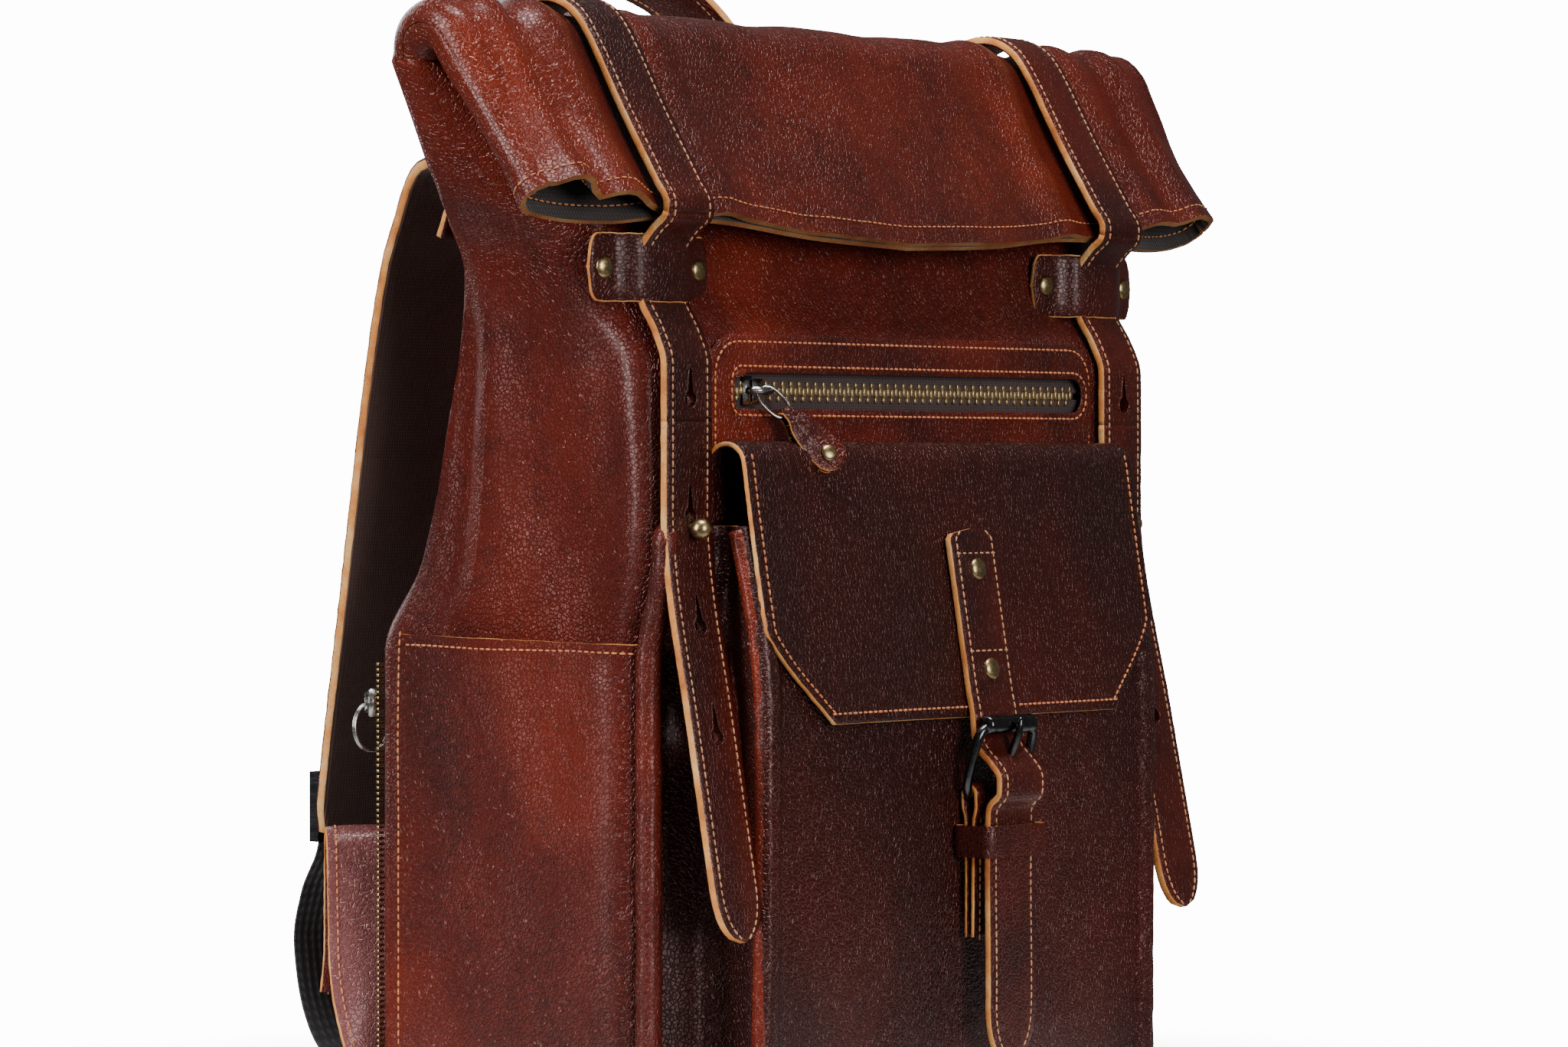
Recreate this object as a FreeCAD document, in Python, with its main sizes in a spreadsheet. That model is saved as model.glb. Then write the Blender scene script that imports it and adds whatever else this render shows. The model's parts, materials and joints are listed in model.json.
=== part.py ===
import FreeCAD, Part
import math
import os
import re
import Sketcher

# Leather roll-top backpack. Millimetres, +Z up, front towards -Y, X across the back.
# The origin is the centre of the base's underside.

SIZES = [
    ("body_width", 310, "width of the bag's body across the back"),
    ("body_depth", 150, "depth of the body from back to front"),
    ("leather", 2.5, "thickness of one layer of body leather"),
    ("straight_top", 205, "height up to which the walls stand upright"),
    ("bulge", 9, "how far the upper front stands proud of the lower front"),
    ("bulge_low", 255, "height where the bulged front starts"),
    ("bulge_high", 333, "height where the bulged front ends"),
    ("neck_y", 66, "distance of the neck's front face from the middle"),
    ("neck_low", 347, "height where the neck starts"),
    ("neck_high", 385, "height where the neck starts to lean back"),
    ("flare_start", 358, "height where the body starts to widen to the mouth"),
    ("mouth_half", 225, "half the width of the flattened mouth"),
    ("bend_height", 441, "height of the roll's bend axis"),
    ("bend_forward", 22, "distance of the bend axis in front of the middle"),
    ("bend_radius", 25, "outer radius of the roll's bend"),
    ("hem_height", 384, "height of the folded mouth's hem"),
    ("hem_forward", 86, "distance of the outer hem from the middle"),
    ("zip_height", 312, "height of the front zip"),
    ("zip_left", 111, "left end of the zip window"),
    ("zip_right", 119, "right end of the zip window"),
    ("zip_window", 14.5, "height of the zip window"),
    ("slider_start", 97, "distance of the closed slider from the middle"),
    ("pocket_half", 125, "half the width of the bellows pocket"),
    ("pocket_y", 116, "distance of the pocket front from the middle"),
    ("pocket_top", 262, "height of the pocket's top edge"),
    ("flap_half", 128, "half the width of the pocket flap"),
    ("flap_top", 281, "height of the flap's bend axis"),
    ("flap_bottom", 179, "height of the flap's lower edge"),
    ("flap_chamfer", 35, "length of the flap's cut corners"),
    ("strap_x", 143, "distance of each long strap from the middle"),
    ("strap_half", 13.5, "half the width of each long strap"),
    ("strap_thick", 4.3, "thickness of the long straps"),
    ("stud_height", 257, "height of the ball studs"),
    ("tail_top", 245, "height where the free tail of a strap starts"),
    ("tail_bottom", 87, "height of a strap's tip"),
    ("closure_x", 6, "distance of the closure strap from the middle"),
    ("closure_half", 15, "half the width of the closure strap"),
    ("closure_tip", 38, "height of the closure strap's tip"),
    ("roller_height", 176, "height of the buckle's roller"),
    ("bar_height", 146, "height of the buckle's lower bar"),
    ("snap_height", 100, "height of the snap behind the chape"),
    ("shoulder_inner", 65, "distance of a shoulder strap's inner edge from the middle"),
    ("shoulder_outer", 125, "distance of a shoulder strap's outer edge from the middle"),
    ("shoulder_thick", 12, "thickness of the padded shoulder strap"),
    ("handle_half", 50, "half the span of the grab handle"),
    ("handle_width", 30, "width of the grab handle's strap"),
    ("back_zip_x", 147, "distance of the back zip from the middle"),
    ("side_pocket_top", 212, "height of the side pockets' top edge"),
]

doc = FreeCAD.newDocument("Backpack")
sheet = doc.addObject("Spreadsheet::Sheet", "Sizes")
for row, (alias, number, note) in enumerate(SIZES, start=1):
    sheet.set(f"A{row}", note)
    sheet.set(f"B{row}", str(number))
    sheet.setAlias(f"B{row}", alias)
doc.recompute()
ALIASES = {alias for alias, number, note in SIZES}
nodes = {}


def bound(text):
    """An expression with each size name pointed at its cell in the sheet."""
    def cell(match):
        return "Sizes." + match.group(0) if match.group(0) in ALIASES else match.group(0)
    return re.sub(r"[a-z][a-z_]*", cell, str(text))


def number(text):
    """The value in millimetres of an expression."""
    return float(sheet.evalExpression(bound(text)))


def vector(x, y, z):
    return FreeCAD.Vector(number(x), number(y), number(z))


def keep(label, thing):
    """Names a finished sub-part, so that it is written to a file of that name."""
    thing.Label = label
    nodes[label] = thing
    return thing


def sketch_outline(body, plane, points):
    """A closed outline on one of the body's own planes, each corner bound to the sheet."""
    sketch = body.newObject("Sketcher::SketchObject", body.Name + "_outline")
    origin_plane = [f for f in body.Origin.OriginFeatures if f.Role == plane + "_Plane"][0]
    sketch.AttachmentSupport = [(origin_plane, "")]
    sketch.MapMode = "FlatFace"
    places = [FreeCAD.Vector(number(u), number(v), 0) for u, v in points]
    count = len(places)
    for i in range(count):
        sketch.addGeometry(Part.LineSegment(places[i], places[(i + 1) % count]), False)
    for i in range(count):
        sketch.addConstraint(Sketcher.Constraint("Coincident", i, 2, (i + 1) % count, 1))
    for i, (u, v) in enumerate(points):
        for kind, text in (("DistanceX", u), ("DistanceY", v)):
            datum = Sketcher.Constraint(kind, -1, 1, i, 1, number(text))
            index = sketch.addConstraint(datum)
            sketch.setExpression(f"Constraints[{index}]", bound(text))
    return sketch


def slab(name, plane, points, low, high):
    """A padded outline between two distances along the plane's normal: X for YZ, -Y for XZ, Z for XY."""
    body = doc.addObject("PartDesign::Body", name)
    sketch = sketch_outline(body, plane, points)
    sketch.setExpression("AttachmentOffset.Base.z", bound(low))
    pad = body.newObject("PartDesign::Pad", name + "_pad")
    pad.Profile = sketch
    pad.setExpression("Length", bound(f"({high}) - ({low})"))
    return body


def box(name, x0, x1, y0, y1, z0, z1):
    """A box between three pairs of expressions."""
    solid = doc.addObject("Part::Box", name)
    ends = (("Length", "x", x0, x1), ("Width", "y", y0, y1), ("Height", "z", z0, z1))
    for side, axis, low, high in ends:
        solid.setExpression(side, bound(f"({high}) - ({low})"))
        solid.setExpression("Placement.Base." + axis, bound(low))
    return solid


TURNS = {
    "+X": FreeCAD.Rotation(FreeCAD.Vector(0, 1, 0), 90),
    "-Y": FreeCAD.Rotation(FreeCAD.Vector(1, 0, 0), 90),
    "+Z": FreeCAD.Rotation(),
}


def place(thing, x, y, z, axis="+Z"):
    thing.Placement = FreeCAD.Placement(vector(x, y, z), TURNS[axis])
    for name, text in (("x", x), ("y", y), ("z", z)):
        thing.setExpression("Placement.Base." + name, bound(text))
    return thing


def cylinder(name, radius, height, x, y, z, axis="+Z"):
    solid = doc.addObject("Part::Cylinder", name)
    solid.setExpression("Radius", bound(radius))
    solid.setExpression("Height", bound(height))
    return place(solid, x, y, z, axis)


def cap(name, radius, x, y, z):
    """A domed head that faces the front: a ball cut off 30 degrees above its middle."""
    solid = doc.addObject("Part::Sphere", name)
    solid.setExpression("Radius", bound(radius))
    solid.Angle1 = 30
    return place(solid, x, y, z, "-Y")


def cut(name, base, tool):
    result = doc.addObject("Part::Cut", name)
    result.Base = base
    result.Tool = tool
    return result


def join(name, *pieces):
    result = doc.addObject("Part::MultiFuse", name)
    result.Shapes = list(pieces)
    return result


def common(name, *pieces):
    result = doc.addObject("Part::MultiCommon", name)
    result.Shapes = list(pieces)
    return result


def group(name, *pieces):
    """Separate solids that share one node."""
    result = doc.addObject("Part::Compound", name)
    result.Links = list(pieces)
    return result


def half_ring(name, outer, inner, x0, x1, y, z):
    """The upper half of a tube that lies along X."""
    length = f"({x1}) - ({x0})"
    tube = cut(name + "_tube",
               cylinder(name + "_outside", outer, length, x0, y, z, "+X"),
               cylinder(name + "_bore", inner, length, x0, y, z, "+X"))
    room = box(name + "_room", x0, x1, f"({y}) - 2*({outer})", f"({y}) + 2*({outer})", z,
               f"({z}) + 2*({outer})")
    return common(name, tube, room)


def ribbon(name, path, thick, x0, x1):
    """A strap of even thickness along a path of (y, z) points, from x0 to x1."""
    line = [FreeCAD.Vector(0, number(y), number(z)) for y, z in path]
    half = number(thick) / 2
    near, far = [], []
    for i, point in enumerate(line):
        before = (point - line[i - 1]).normalize() if i else None
        after = (line[i + 1] - point).normalize() if i + 1 < len(line) else None
        along = (before or after) + (after or before)
        along.normalize()
        side = FreeCAD.Vector(0, -along.z, along.y)
        reach = half / max(0.5, along.dot(after or before))
        near.append(point + side * reach)
        far.append(point - side * reach)
    outline = near + far[::-1]
    face = Part.Face(Part.makePolygon(outline + outline[:1]))
    solid = face.extrude(FreeCAD.Vector(number(x1) - number(x0), 0, 0))
    feature = doc.addObject("Part::Feature", name)
    feature.Shape = solid
    feature.Placement = FreeCAD.Placement(FreeCAD.Vector(number(x0), 0, 0), FreeCAD.Rotation())
    return feature


# ---- the body: a bag of flat panels, open inside, that narrows upwards to a flattened neck
WALL = "leather"
FLOOR = "3"
FRONT = [
    ("-body_depth/2", FLOOR),
    ("-body_depth/2", "straight_top"),
    ("-body_depth/2 - bulge", "bulge_low"),
    ("-body_depth/2 - bulge", "bulge_high"),
    ("-neck_y", "neck_low"),
    ("-neck_y", "neck_high"),
    ("-bend_forward + 2", "bend_height"),
]
BACK = [
    ("body_depth/2", FLOOR),
    ("body_depth/2", "straight_top"),
    ("58", "290"),
    ("36", "360"),
    ("-bend_forward + bend_radius", "bend_height"),
]


def shifted(points, du, dv="0"):
    return [(f"{u} + ({du})", f"{v} + ({dv})") for u, v in points]


def bent_plate(points, thick):
    """The outline of a plate whose outer face follows points, thick measured along the first axis."""
    return points + shifted(points, thick)[::-1]


half_outline = [("body_width/2", FLOOR), ("body_width/2", "flare_start"), ("mouth_half", "bend_height")]
left_half = [(f"-({x})", z) for x, z in half_outline]
silhouette = slab("silhouette", "XZ", half_outline + left_half[::-1], "-200", "200")
inside = slab("inside", "YZ", shifted(FRONT, WALL) + shifted(BACK, "-leather")[::-1], "-250", "250")

front_skin = common("front_skin", slab("front_profile", "YZ", bent_plate(FRONT, WALL), "-240", "240"),
                    silhouette)
zip_hole = box("zip_hole", "-zip_left - 3", "zip_right + 3", "-body_depth/2 - 20", "-body_depth/2",
               "zip_height - zip_window/2 - 2.5", "zip_height + zip_window/2 + 2.5")
keep("front_panel", cut("front_cut", front_skin, zip_hole))
keep("back_panel",
     common("back_skin", slab("back_profile", "YZ", bent_plate(BACK, "-leather"), "-240", "240"), silhouette))
keep("left_side_panel",
     common("left_skin", slab("left_profile", "XZ", bent_plate(left_half, WALL), "-200", "200"), inside))
keep("right_side_panel",
     common("right_skin", slab("right_profile", "XZ", bent_plate(half_outline, "-leather"), "-200", "200"),
            inside))
keep("base_panel", box("base", "-body_width/2", "body_width/2", "-body_depth/2", "body_depth/2", "0", FLOOR))
keep("base_board",
     box("board", "-body_width/2 + 8", "body_width/2 - 8", "-body_depth/2 + 8", "body_depth/2 - 16", "3.2",
         "6.2"))
keep("back_foam",
     box("foam", "-130", "130", "body_depth/2 - leather - 6.5", "body_depth/2 - leather - 0.3", "12", "200"))
lining_outside = box("lining_outside", "-body_width/2 + 3.5", "body_width/2 - 3.5", "-body_depth/2 + 3.5",
                     "body_depth/2 - 10", "7", "straight_top - 5")
lining_inside = box("lining_inside", "-body_width/2 + 4.5", "body_width/2 - 4.5", "-body_depth/2 + 4.5",
                    "body_depth/2 - 11", "8", "straight_top")
keep("main_lining", cut("lining", lining_outside, lining_inside))

# ---- the front zip: a stitched facing with a window, tapes, two rows of teeth, and the slider
FACE = "-body_depth/2 - bulge"                   # the bulged front's outer face
facing_plate = box("facing_plate", "-127", "127", f"{FACE} - 2.4", f"{FACE} - 0.1", "292", "332")
facing_window = box("facing_window", "-zip_left", "zip_right", f"{FACE} - 5", FACE,
                    "zip_height - zip_window/2", "zip_height + zip_window/2")
keep("zip_facing", cut("facing", facing_plate, facing_window))
tapes = [box(f"tape_{side}", "-zip_left - 2", "zip_right + 2", f"{FACE} + 2.8", f"{FACE} + 3.6", low, high)
         for side, low, high in (("upper", "zip_height + 3.6", "zip_height + 16"),
                                 ("lower", "zip_height - 16", "zip_height - 3.6"))]
keep("zip_tapes", group("tapes", *tapes))
rows = [box(f"teeth_{side}", "-zip_left + 3", "zip_right - 3", f"{FACE} + 2", f"{FACE} + 4.2", low, high)
        for side, low, high in (("upper", "zip_height + 0.7", "zip_height + 3.2"),
                                ("lower", "zip_height - 3.2", "zip_height - 0.7"))]
keep("zip_teeth", group("teeth", *rows))
keep("zip_pocket_lining", cut("zip_pocket",
     box("zip_pocket_outside", "-116", "122", "-79.5", "-71.5", "296", "330"),
     box("zip_pocket_inside", "-115", "121", "-85", "-72.5", "297", "329")))

SLIDER_X = "-slider_start"
plates = join("slider_plates",
              box("slider_front", f"{SLIDER_X} - 5", f"{SLIDER_X} + 5", f"{FACE} - 0.6", f"{FACE} + 1.5",
                  "zip_height - 5.5", "zip_height + 5.5"),
              box("slider_back", f"{SLIDER_X} - 5", f"{SLIDER_X} + 5", f"{FACE} + 4.6", f"{FACE} + 6.4",
                  "zip_height - 5.5", "zip_height + 5.5"),
              box("slider_post", f"{SLIDER_X} - 3", f"{SLIDER_X} + 3", f"{FACE} + 1", f"{FACE} + 5",
                  "zip_height - 0.4", "zip_height + 0.4"),
              box("slider_lug", f"{SLIDER_X} - 1.2", f"{SLIDER_X} + 1.2", f"{FACE} - 6.6", f"{FACE} - 0.2",
                  "zip_height - 3", "zip_height + 3"))
keep("zip_slider", cut("slider_cut", plates,
     cylinder("lug_hole", "1.9", "6", f"{SLIDER_X} - 3", f"{FACE} - 3.6", "zip_height", "+X")))

# The pull leans out over the flap: it is drawn hanging down and turned about the lug's hole.
PULL_LEAN = 38


def leaning(label, shape_of):
    """Turns a hanging piece outwards about the slider's lug hole."""
    copy = doc.addObject("Part::Feature", label + "_leaning")
    pivot = vector(SLIDER_X, f"{FACE} - 3.6", "zip_height")
    shape = shape_of.Shape.copy()
    shape.rotate(pivot, FreeCAD.Vector(1, 0, 0), -PULL_LEAN)
    copy.Shape = shape
    return keep(label, copy)


def wire_loop(name, x, y, z, half_width, height, radius):
    """A rectangular wire loop that hangs from z, in the XZ plane."""
    w, drop = f"({half_width})", f"({height})"
    return join(name,
                cylinder(name + "_top", radius, f"2*{w} + 2*({radius})", f"{x} - {w} - ({radius})", y, z,
                         "+X"),
                cylinder(name + "_bottom", radius, f"2*{w} + 2*({radius})", f"{x} - {w} - ({radius})", y,
                         f"{z} - {drop}", "+X"),
                cylinder(name + "_left", radius, drop, f"{x} - {w}", y, f"{z} - {drop}"),
                cylinder(name + "_right", radius, drop, f"{x} + {w}", y, f"{z} - {drop}"))


hanging_ring = wire_loop("hanging_ring", SLIDER_X, f"{FACE} - 3.6", "zip_height", "7", "12", "0.8")
hanging_tab = cut("hanging_tab",
                  box("tab_block", f"{SLIDER_X} - 5", f"{SLIDER_X} + 5", f"{FACE} - 5.3", f"{FACE} - 1.9",
                      "zip_height - 40", "zip_height - 10"),
                  cylinder("tab_hole", "1.2", "20", f"{SLIDER_X} - 10", f"{FACE} - 3.6", "zip_height - 12",
                           "+X"))
doc.recompute()
leaning("zip_ring", hanging_ring)
leaning("zip_tab", hanging_tab)

# ---- the bellows pocket
POCKET = [("-pocket_y + 16", "pocket_top"), ("-pocket_y", "195"), ("-pocket_y", "10")]
keep("pocket_front", slab("pocket_plate", "YZ", bent_plate(POCKET, WALL), "-pocket_half", "pocket_half"))
gusset_side = [
    ("-pocket_y + 18.8", "pocket_top - 3"), ("-pocket_y + 2.8", "195"), ("-pocket_y + 2.8", "10"),
    ("-body_depth/2 - 0.2", "10"), ("-body_depth/2 - 0.2", "straight_top"),
    ("-body_depth/2 - bulge - 0.2", "bulge_low"), ("-body_depth/2 - bulge - 0.2", "pocket_top - 3"),
]
keep("pocket_gusset", join("gusset",
     slab("gusset_left", "YZ", gusset_side, "-pocket_half", "-pocket_half + leather"),
     slab("gusset_right", "YZ", gusset_side, "pocket_half - leather", "pocket_half"),
     box("gusset_bottom", "-pocket_half", "pocket_half", "-pocket_y + 2.8", "-body_depth/2 - 0.2", "10",
         "12.5")))
keep("snap_stud", cylinder("stud_disc", "6", "2.6", "closure_x", "-pocket_y - 0.05", "snap_height", "-Y"))

# ---- the pocket flap, folded over at the top and sewn down behind
FLAP_TOP_Y = "-106.3"
FLAP_AXIS_Y = "-95.3"
FLAP_FOOT_Y = "-124"
flap_plate = slab("flap_plate", "YZ", [
    (FLAP_TOP_Y, "flap_top"), (FLAP_FOOT_Y, "flap_bottom"),
    (f"{FLAP_FOOT_Y} + 3", "flap_bottom"), (f"{FLAP_TOP_Y} + 3", "flap_top")], "-flap_half", "flap_half")
flap_outline = slab("flap_outline", "XZ", [
    ("-flap_half", "flap_top"), ("flap_half", "flap_top"), ("flap_half", "flap_bottom + flap_chamfer"),
    ("flap_half - flap_chamfer", "flap_bottom"), ("-flap_half + flap_chamfer", "flap_bottom"),
    ("-flap_half", "flap_bottom + flap_chamfer")], "50", "200")
keep("pocket_flap", common("flap_solid", flap_plate, flap_outline))
keep("flap_fold", half_ring("flap_bend", "11", "8", "-flap_half", "flap_half", FLAP_AXIS_Y, "flap_top"))
keep("flap_return",
     box("flap_leg", "-flap_half", "flap_half", f"{FACE} - 3.3", f"{FACE} - 0.3", "260", "flap_top"))
LEAN = "17.7/102"                                # how far the flap leans out for each mm it drops
TAB_TOP = "255"
keep("flap_tab", slab("flap_tab_plate", "YZ", [
    (f"{FLAP_TOP_Y} - (flap_top - {TAB_TOP})*{LEAN} - 0.1", TAB_TOP),
                                               (f"{FLAP_FOOT_Y} - 0.1", "flap_bottom + 0.2"),
    (f"{FLAP_FOOT_Y} - 4.1", "flap_bottom + 0.2"),
                                               (f"{FLAP_TOP_Y} - (flap_top - {TAB_TOP})*{LEAN} - 4.1",
                                                TAB_TOP)],
    "closure_x - closure_half", "closure_x + closure_half"))
flap_rivets = [cap(f"flap_rivet_{i}", "5", "closure_x", f"{FLAP_TOP_Y} - (flap_top - {z})*{LEAN} - 2.5",
                   str(z))
               for i, z in enumerate((241, 198))]
keep("flap_rivets", group("flap_rivet_pair", *flap_rivets))

# ---- the closure that hangs from the flap: strap, roller buckle, chape, keeper and snap
CL, CR = "closure_x - closure_half", "closure_x + closure_half"
STRAP_FACE = "-130.3"                            # back face of the strap's hanging length
strap_plate = slab("closure_plate", "YZ", [
    ("-124.5", "flap_bottom - 0.5"), ("-124.5", "170"), (STRAP_FACE, "152"), (STRAP_FACE, "closure_tip"),
    (f"{STRAP_FACE} - 4.3", "closure_tip"), (f"{STRAP_FACE} - 4.3", "152"), ("-128.8", "170"),
    ("-128.8", "flap_bottom - 0.5")], CL, CR)
keep("closure_strap", cut("closure_slotted", strap_plate,
     box("tongue_slot", "closure_x - 2.2", "closure_x + 2.2", "-140", "-120", "149", "174")))
ROLLER_Y = "-133.6"
BAR_Y = "-124.5"
arms = [slab(f"arm_{side}", "YZ",
             [("-121.8", "143.5"), ("-127.6", "143.5"), ("-136.6", "173"), ("-136.6", "179"), ("-131", "180"),
              ("-121.8", "160")],
             f"closure_x + {low}", f"closure_x + {high}") for side, low,
        high in (("left", -20.5, -16.5), ("right", 16.5, 20.5))]
keep("buckle_frame", join("frame", *arms,
     cylinder("lower_bar", "2", "41", "closure_x - 20.5", BAR_Y, "bar_height", "+X"),
     cylinder("roller_axle", "1.6", "41", "closure_x - 20.5", ROLLER_Y, "roller_height", "+X")))
keep("buckle_roller", cut("roller",
     cylinder("roller_outside", "4", "32", "closure_x - 16", ROLLER_Y, "roller_height", "+X"),
     cylinder("roller_bore", "1.65", "32", "closure_x - 16", ROLLER_Y, "roller_height", "+X")))
prong_eye = cut("prong_eye",
                cylinder("eye_outside", "3.4", "3", "closure_x - 1.5", BAR_Y, "bar_height", "+X"),
                cylinder("eye_bore", "2.05", "3", "closure_x - 1.5", BAR_Y, "bar_height", "+X"))
prong_bar = slab("prong_bar", "YZ",
                 [("-126.6", "148.2"), ("-128.2", "147"), ("-142", "177"), ("-139.8", "179")],
                 "closure_x - 1.4", "closure_x + 1.4")
keep("buckle_prong", join("prong", prong_eye, prong_bar))
chape_plate = box("chape_plate", CL, CR, "-126.7", "-122.3", "88", "bar_height - 2.6")
chape_bend = cut("chape_bend",
                 cylinder("chape_outside", "4.4", "2*closure_half", CL, BAR_Y, "bar_height", "+X"),
                 cylinder("chape_bore", "2.3", "2*closure_half", CL, BAR_Y, "bar_height", "+X"))
keep("buckle_chape", cut("chape", join("chape_whole", chape_plate, chape_bend),
     box("chape_slot", "closure_x - 2.2", "closure_x + 2.2", "-132", "-118", "bar_height - 6",
         "bar_height + 8")))
keep("snap_cap", cylinder("snap_disc", "6", "3.2", "closure_x", "-119", "snap_height", "-Y"))
keep("strap_loop", cut("loop",
     box("loop_outside", f"{CL} - 5", f"{CR} + 5", "-137.4", "-119.6", "122", "135"),
     box("loop_inside", f"{CL} - 2.6", f"{CR} + 2.6", "-135.1", "-121.8", "121", "136")))

# ---- the two long straps with their keepers and ball studs, and the side pockets
BACK_SLOPE = "33/81"                             # the back's lean between its last two bends
backs, bends, fronts, studs, rivets = [], [], [], [], []
for side, x in (("left", "-strap_x"), ("right", "strap_x")):
    low, high = f"{x} - strap_half", f"{x} + strap_half"
    backs.append(slab(f"{side}_strap_back", "YZ", [
        ("3.3", "bend_height"), (f"3.3 + 66*{BACK_SLOPE}", "bend_height - 66"),
        (f"3.3 + 66*{BACK_SLOPE} + strap_thick", "bend_height - 66"), ("3.3 + strap_thick", "bend_height")],
                      low, high))
    bends.append(half_ring(f"{side}_strap_bend", "bend_radius + 0.3 + strap_thick", "bend_radius + 0.3",
                           low, high, "-bend_forward", "bend_height"))
    fronts.append(slab(f"{side}_strap_front", "YZ", [
        ("-bend_forward - bend_radius - 0.3", "bend_height"), ("-hem_forward - 0.3", "hem_height"),
        ("-hem_forward - 0.3 - strap_thick", "hem_height"),
        ("-bend_forward - bend_radius - 0.3 - strap_thick", "bend_height")], low, high))
    leg = slab(f"{side}_leg_plate", "YZ", [
        ("-hem_forward - 0.3", "hem_height - 0.3"), ("-70", "373"), ("-70", "neck_low"),
                                           ("-86", "bulge_high - 2"),
        ("-86", "tail_top"), ("-86 - strap_thick", "tail_top"), ("-86 - strap_thick", "bulge_high - 2"),
        ("-70 - strap_thick", "neck_low"), ("-70 - strap_thick", "373"),
        ("-hem_forward - 0.3 - strap_thick", "hem_height - 0.3")], low, high)
    keep(f"{side}_strap_leg", cut(f"{side}_leg", leg,
         cylinder(f"{side}_keyhole", "3.4", "20", x, "-80", "stud_height", "-Y")))
    keep(f"{side}_strap_tail", slab(f"{side}_tail_plate", "YZ", [
        ("-88", "tail_top - 0.3"), ("-114", "tail_bottom"), ("-114 - strap_thick", "tail_bottom"),
        ("-88 - strap_thick", "tail_top - 0.3")], low, high))
    studs.append(join(f"{side}_stud",
                      cylinder(f"{side}_stud_foot", "6", "1.6", x, f"{FACE} - 0.1", "stud_height", "-Y"),
                      cylinder(f"{side}_stud_stem", "2.2", "10", x, f"{FACE} - 0.1", "stud_height", "-Y"),
                      place(doc.addObject("Part::Sphere", f"{side}_stud_ball"), x, f"{FACE} - 12",
                            "stud_height")))
    studs[-1].Shapes[2].Radius = 4.2
    offsets = [(-35, 66.3), (-35, 68.8), (-21, 68.8), (-17.5, 77.7), (17.5, 77.7), (21, 68.8), (35, 68.8),
               (35, 66.3), (19.5, 66.3), (15.5, 75.2), (-15.5, 75.2), (-19.5, 66.3)]
    keep(f"{side}_keeper", slab(f"{side}_keeper_plate", "XY",
         [(f"{x} + ({dx})", f"-({dy})") for dx, dy in offsets], "347.5", "372.5"))
    rivets += [cap(f"{side}_keeper_rivet_{i}", "5", f"{x} + ({dx})", "-66.4", "360") for i,
               dx in enumerate((-28, 28))]
    sign = "-" if side == "left" else "+"
    wall = [("155.3", -66), ("163", -58), ("163", 58), ("155.3", 66), ("155.3", 62.6), ("160.6", 57),
            ("160.6", -57), ("155.3", -62.6)]
    keep(f"{side}_side_pocket", slab(f"{side}_pocket_wall", "XY",
         [(f"{sign}{px}" if sign == "-" else px, str(py)) for px, py in wall], "8", "side_pocket_top"))
keep("strap_backs", group("strap_back_pair", *backs))
keep("strap_bends", group("strap_bend_pair", *bends))
keep("strap_fronts", group("strap_front_pair", *fronts))
keep("ball_studs", group("stud_pair", *studs))
keep("keeper_rivets", group("keeper_rivet_set", *rivets))

# ---- the roll-top mouth: a flattened tube folded over to the front
AXIS_Y = "-bend_forward"
outer_bend = half_ring("outer_bend", "bend_radius", "bend_radius - leather", "-mouth_half", "mouth_half",
                       AXIS_Y, "bend_height")
inner_bend = half_ring("inner_bend", "4.9", "2.4", "-mouth_half", "mouth_half", "-24.9", "bend_height")
keep("roll_fold", group("roll_bends", outer_bend, inner_bend))
MOUTH_OUT = [("-bend_forward - bend_radius", "bend_height"), ("-hem_forward", "hem_height")]
MOUTH_IN = [("-29.8", "bend_height"), ("-71", "hem_height")]
keep("mouth_outer_wall", slab("mouth_outer", "YZ", bent_plate(MOUTH_OUT, WALL), "-mouth_half", "mouth_half"))
keep("mouth_inner_wall", slab("mouth_inner", "YZ", bent_plate(MOUTH_IN, WALL), "-mouth_half", "mouth_half"))
seam = shifted(MOUTH_OUT, "leather + 0.1") + shifted(MOUTH_IN, "-0.1")[::-1]
keep("mouth_side_seams", group("mouth_seam_pair",
     slab("mouth_left_seam", "YZ", seam, "-mouth_half", "-mouth_half + leather"),
     slab("mouth_right_seam", "YZ", seam, "mouth_half - leather", "mouth_half")))

# ---- the back: shoulder straps, webbing, lower loops, grab handle and the back zip
SHOULDER = [("36", "384"), ("58", "408"), ("80", "408"), ("95", "370"), ("107", "308"), ("119", "232"),
            ("133", "140")]
WEBBING = [("144", "120.5"), ("151", "100"), ("153", "70"), ("142", "36"), ("116", "18"), ("82", "18")]
LOOP = [("78", "30"), ("84", "80"), ("90", "118"), ("101", "129"), ("112", "118"), ("111", "60")]
webbings, loops = [], []
for side, sign in (("left", -1), ("right", 1)):
    ends = sorted((sign * number("shoulder_inner"), sign * number("shoulder_outer")))
    keep(f"{side}_shoulder_strap", ribbon(f"{side}_pad", SHOULDER, "shoulder_thick", *ends))
    middle = sum(ends) / 2
    keep(f"{side}_adjuster", cut(f"{side}_ladder",
         box(f"{side}_ladder_block", middle - 24, middle + 24, "140.6", "145.8", "122", "152"),
         box(f"{side}_ladder_slot", middle - 19.5, middle + 19.5, "135", "150", "128", "133")))
    webbings.append(ribbon(f"{side}_web", WEBBING, "1.6", middle - 19, middle + 19))
    loops.append(ribbon(f"{side}_loop", LOOP, "4", sign * 122 - 19, sign * 122 + 19))
keep("webbing_straps", group("webbing_pair", *webbings))
keep("lower_loops", group("loop_pair", *loops))
keep("back_yoke", slab("yoke_plate", "YZ", [
    ("36.6", "360"), ("24.4", "390"), ("26.9", "390"), ("39.1", "360")], "-127.5", "127.5"))

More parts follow.
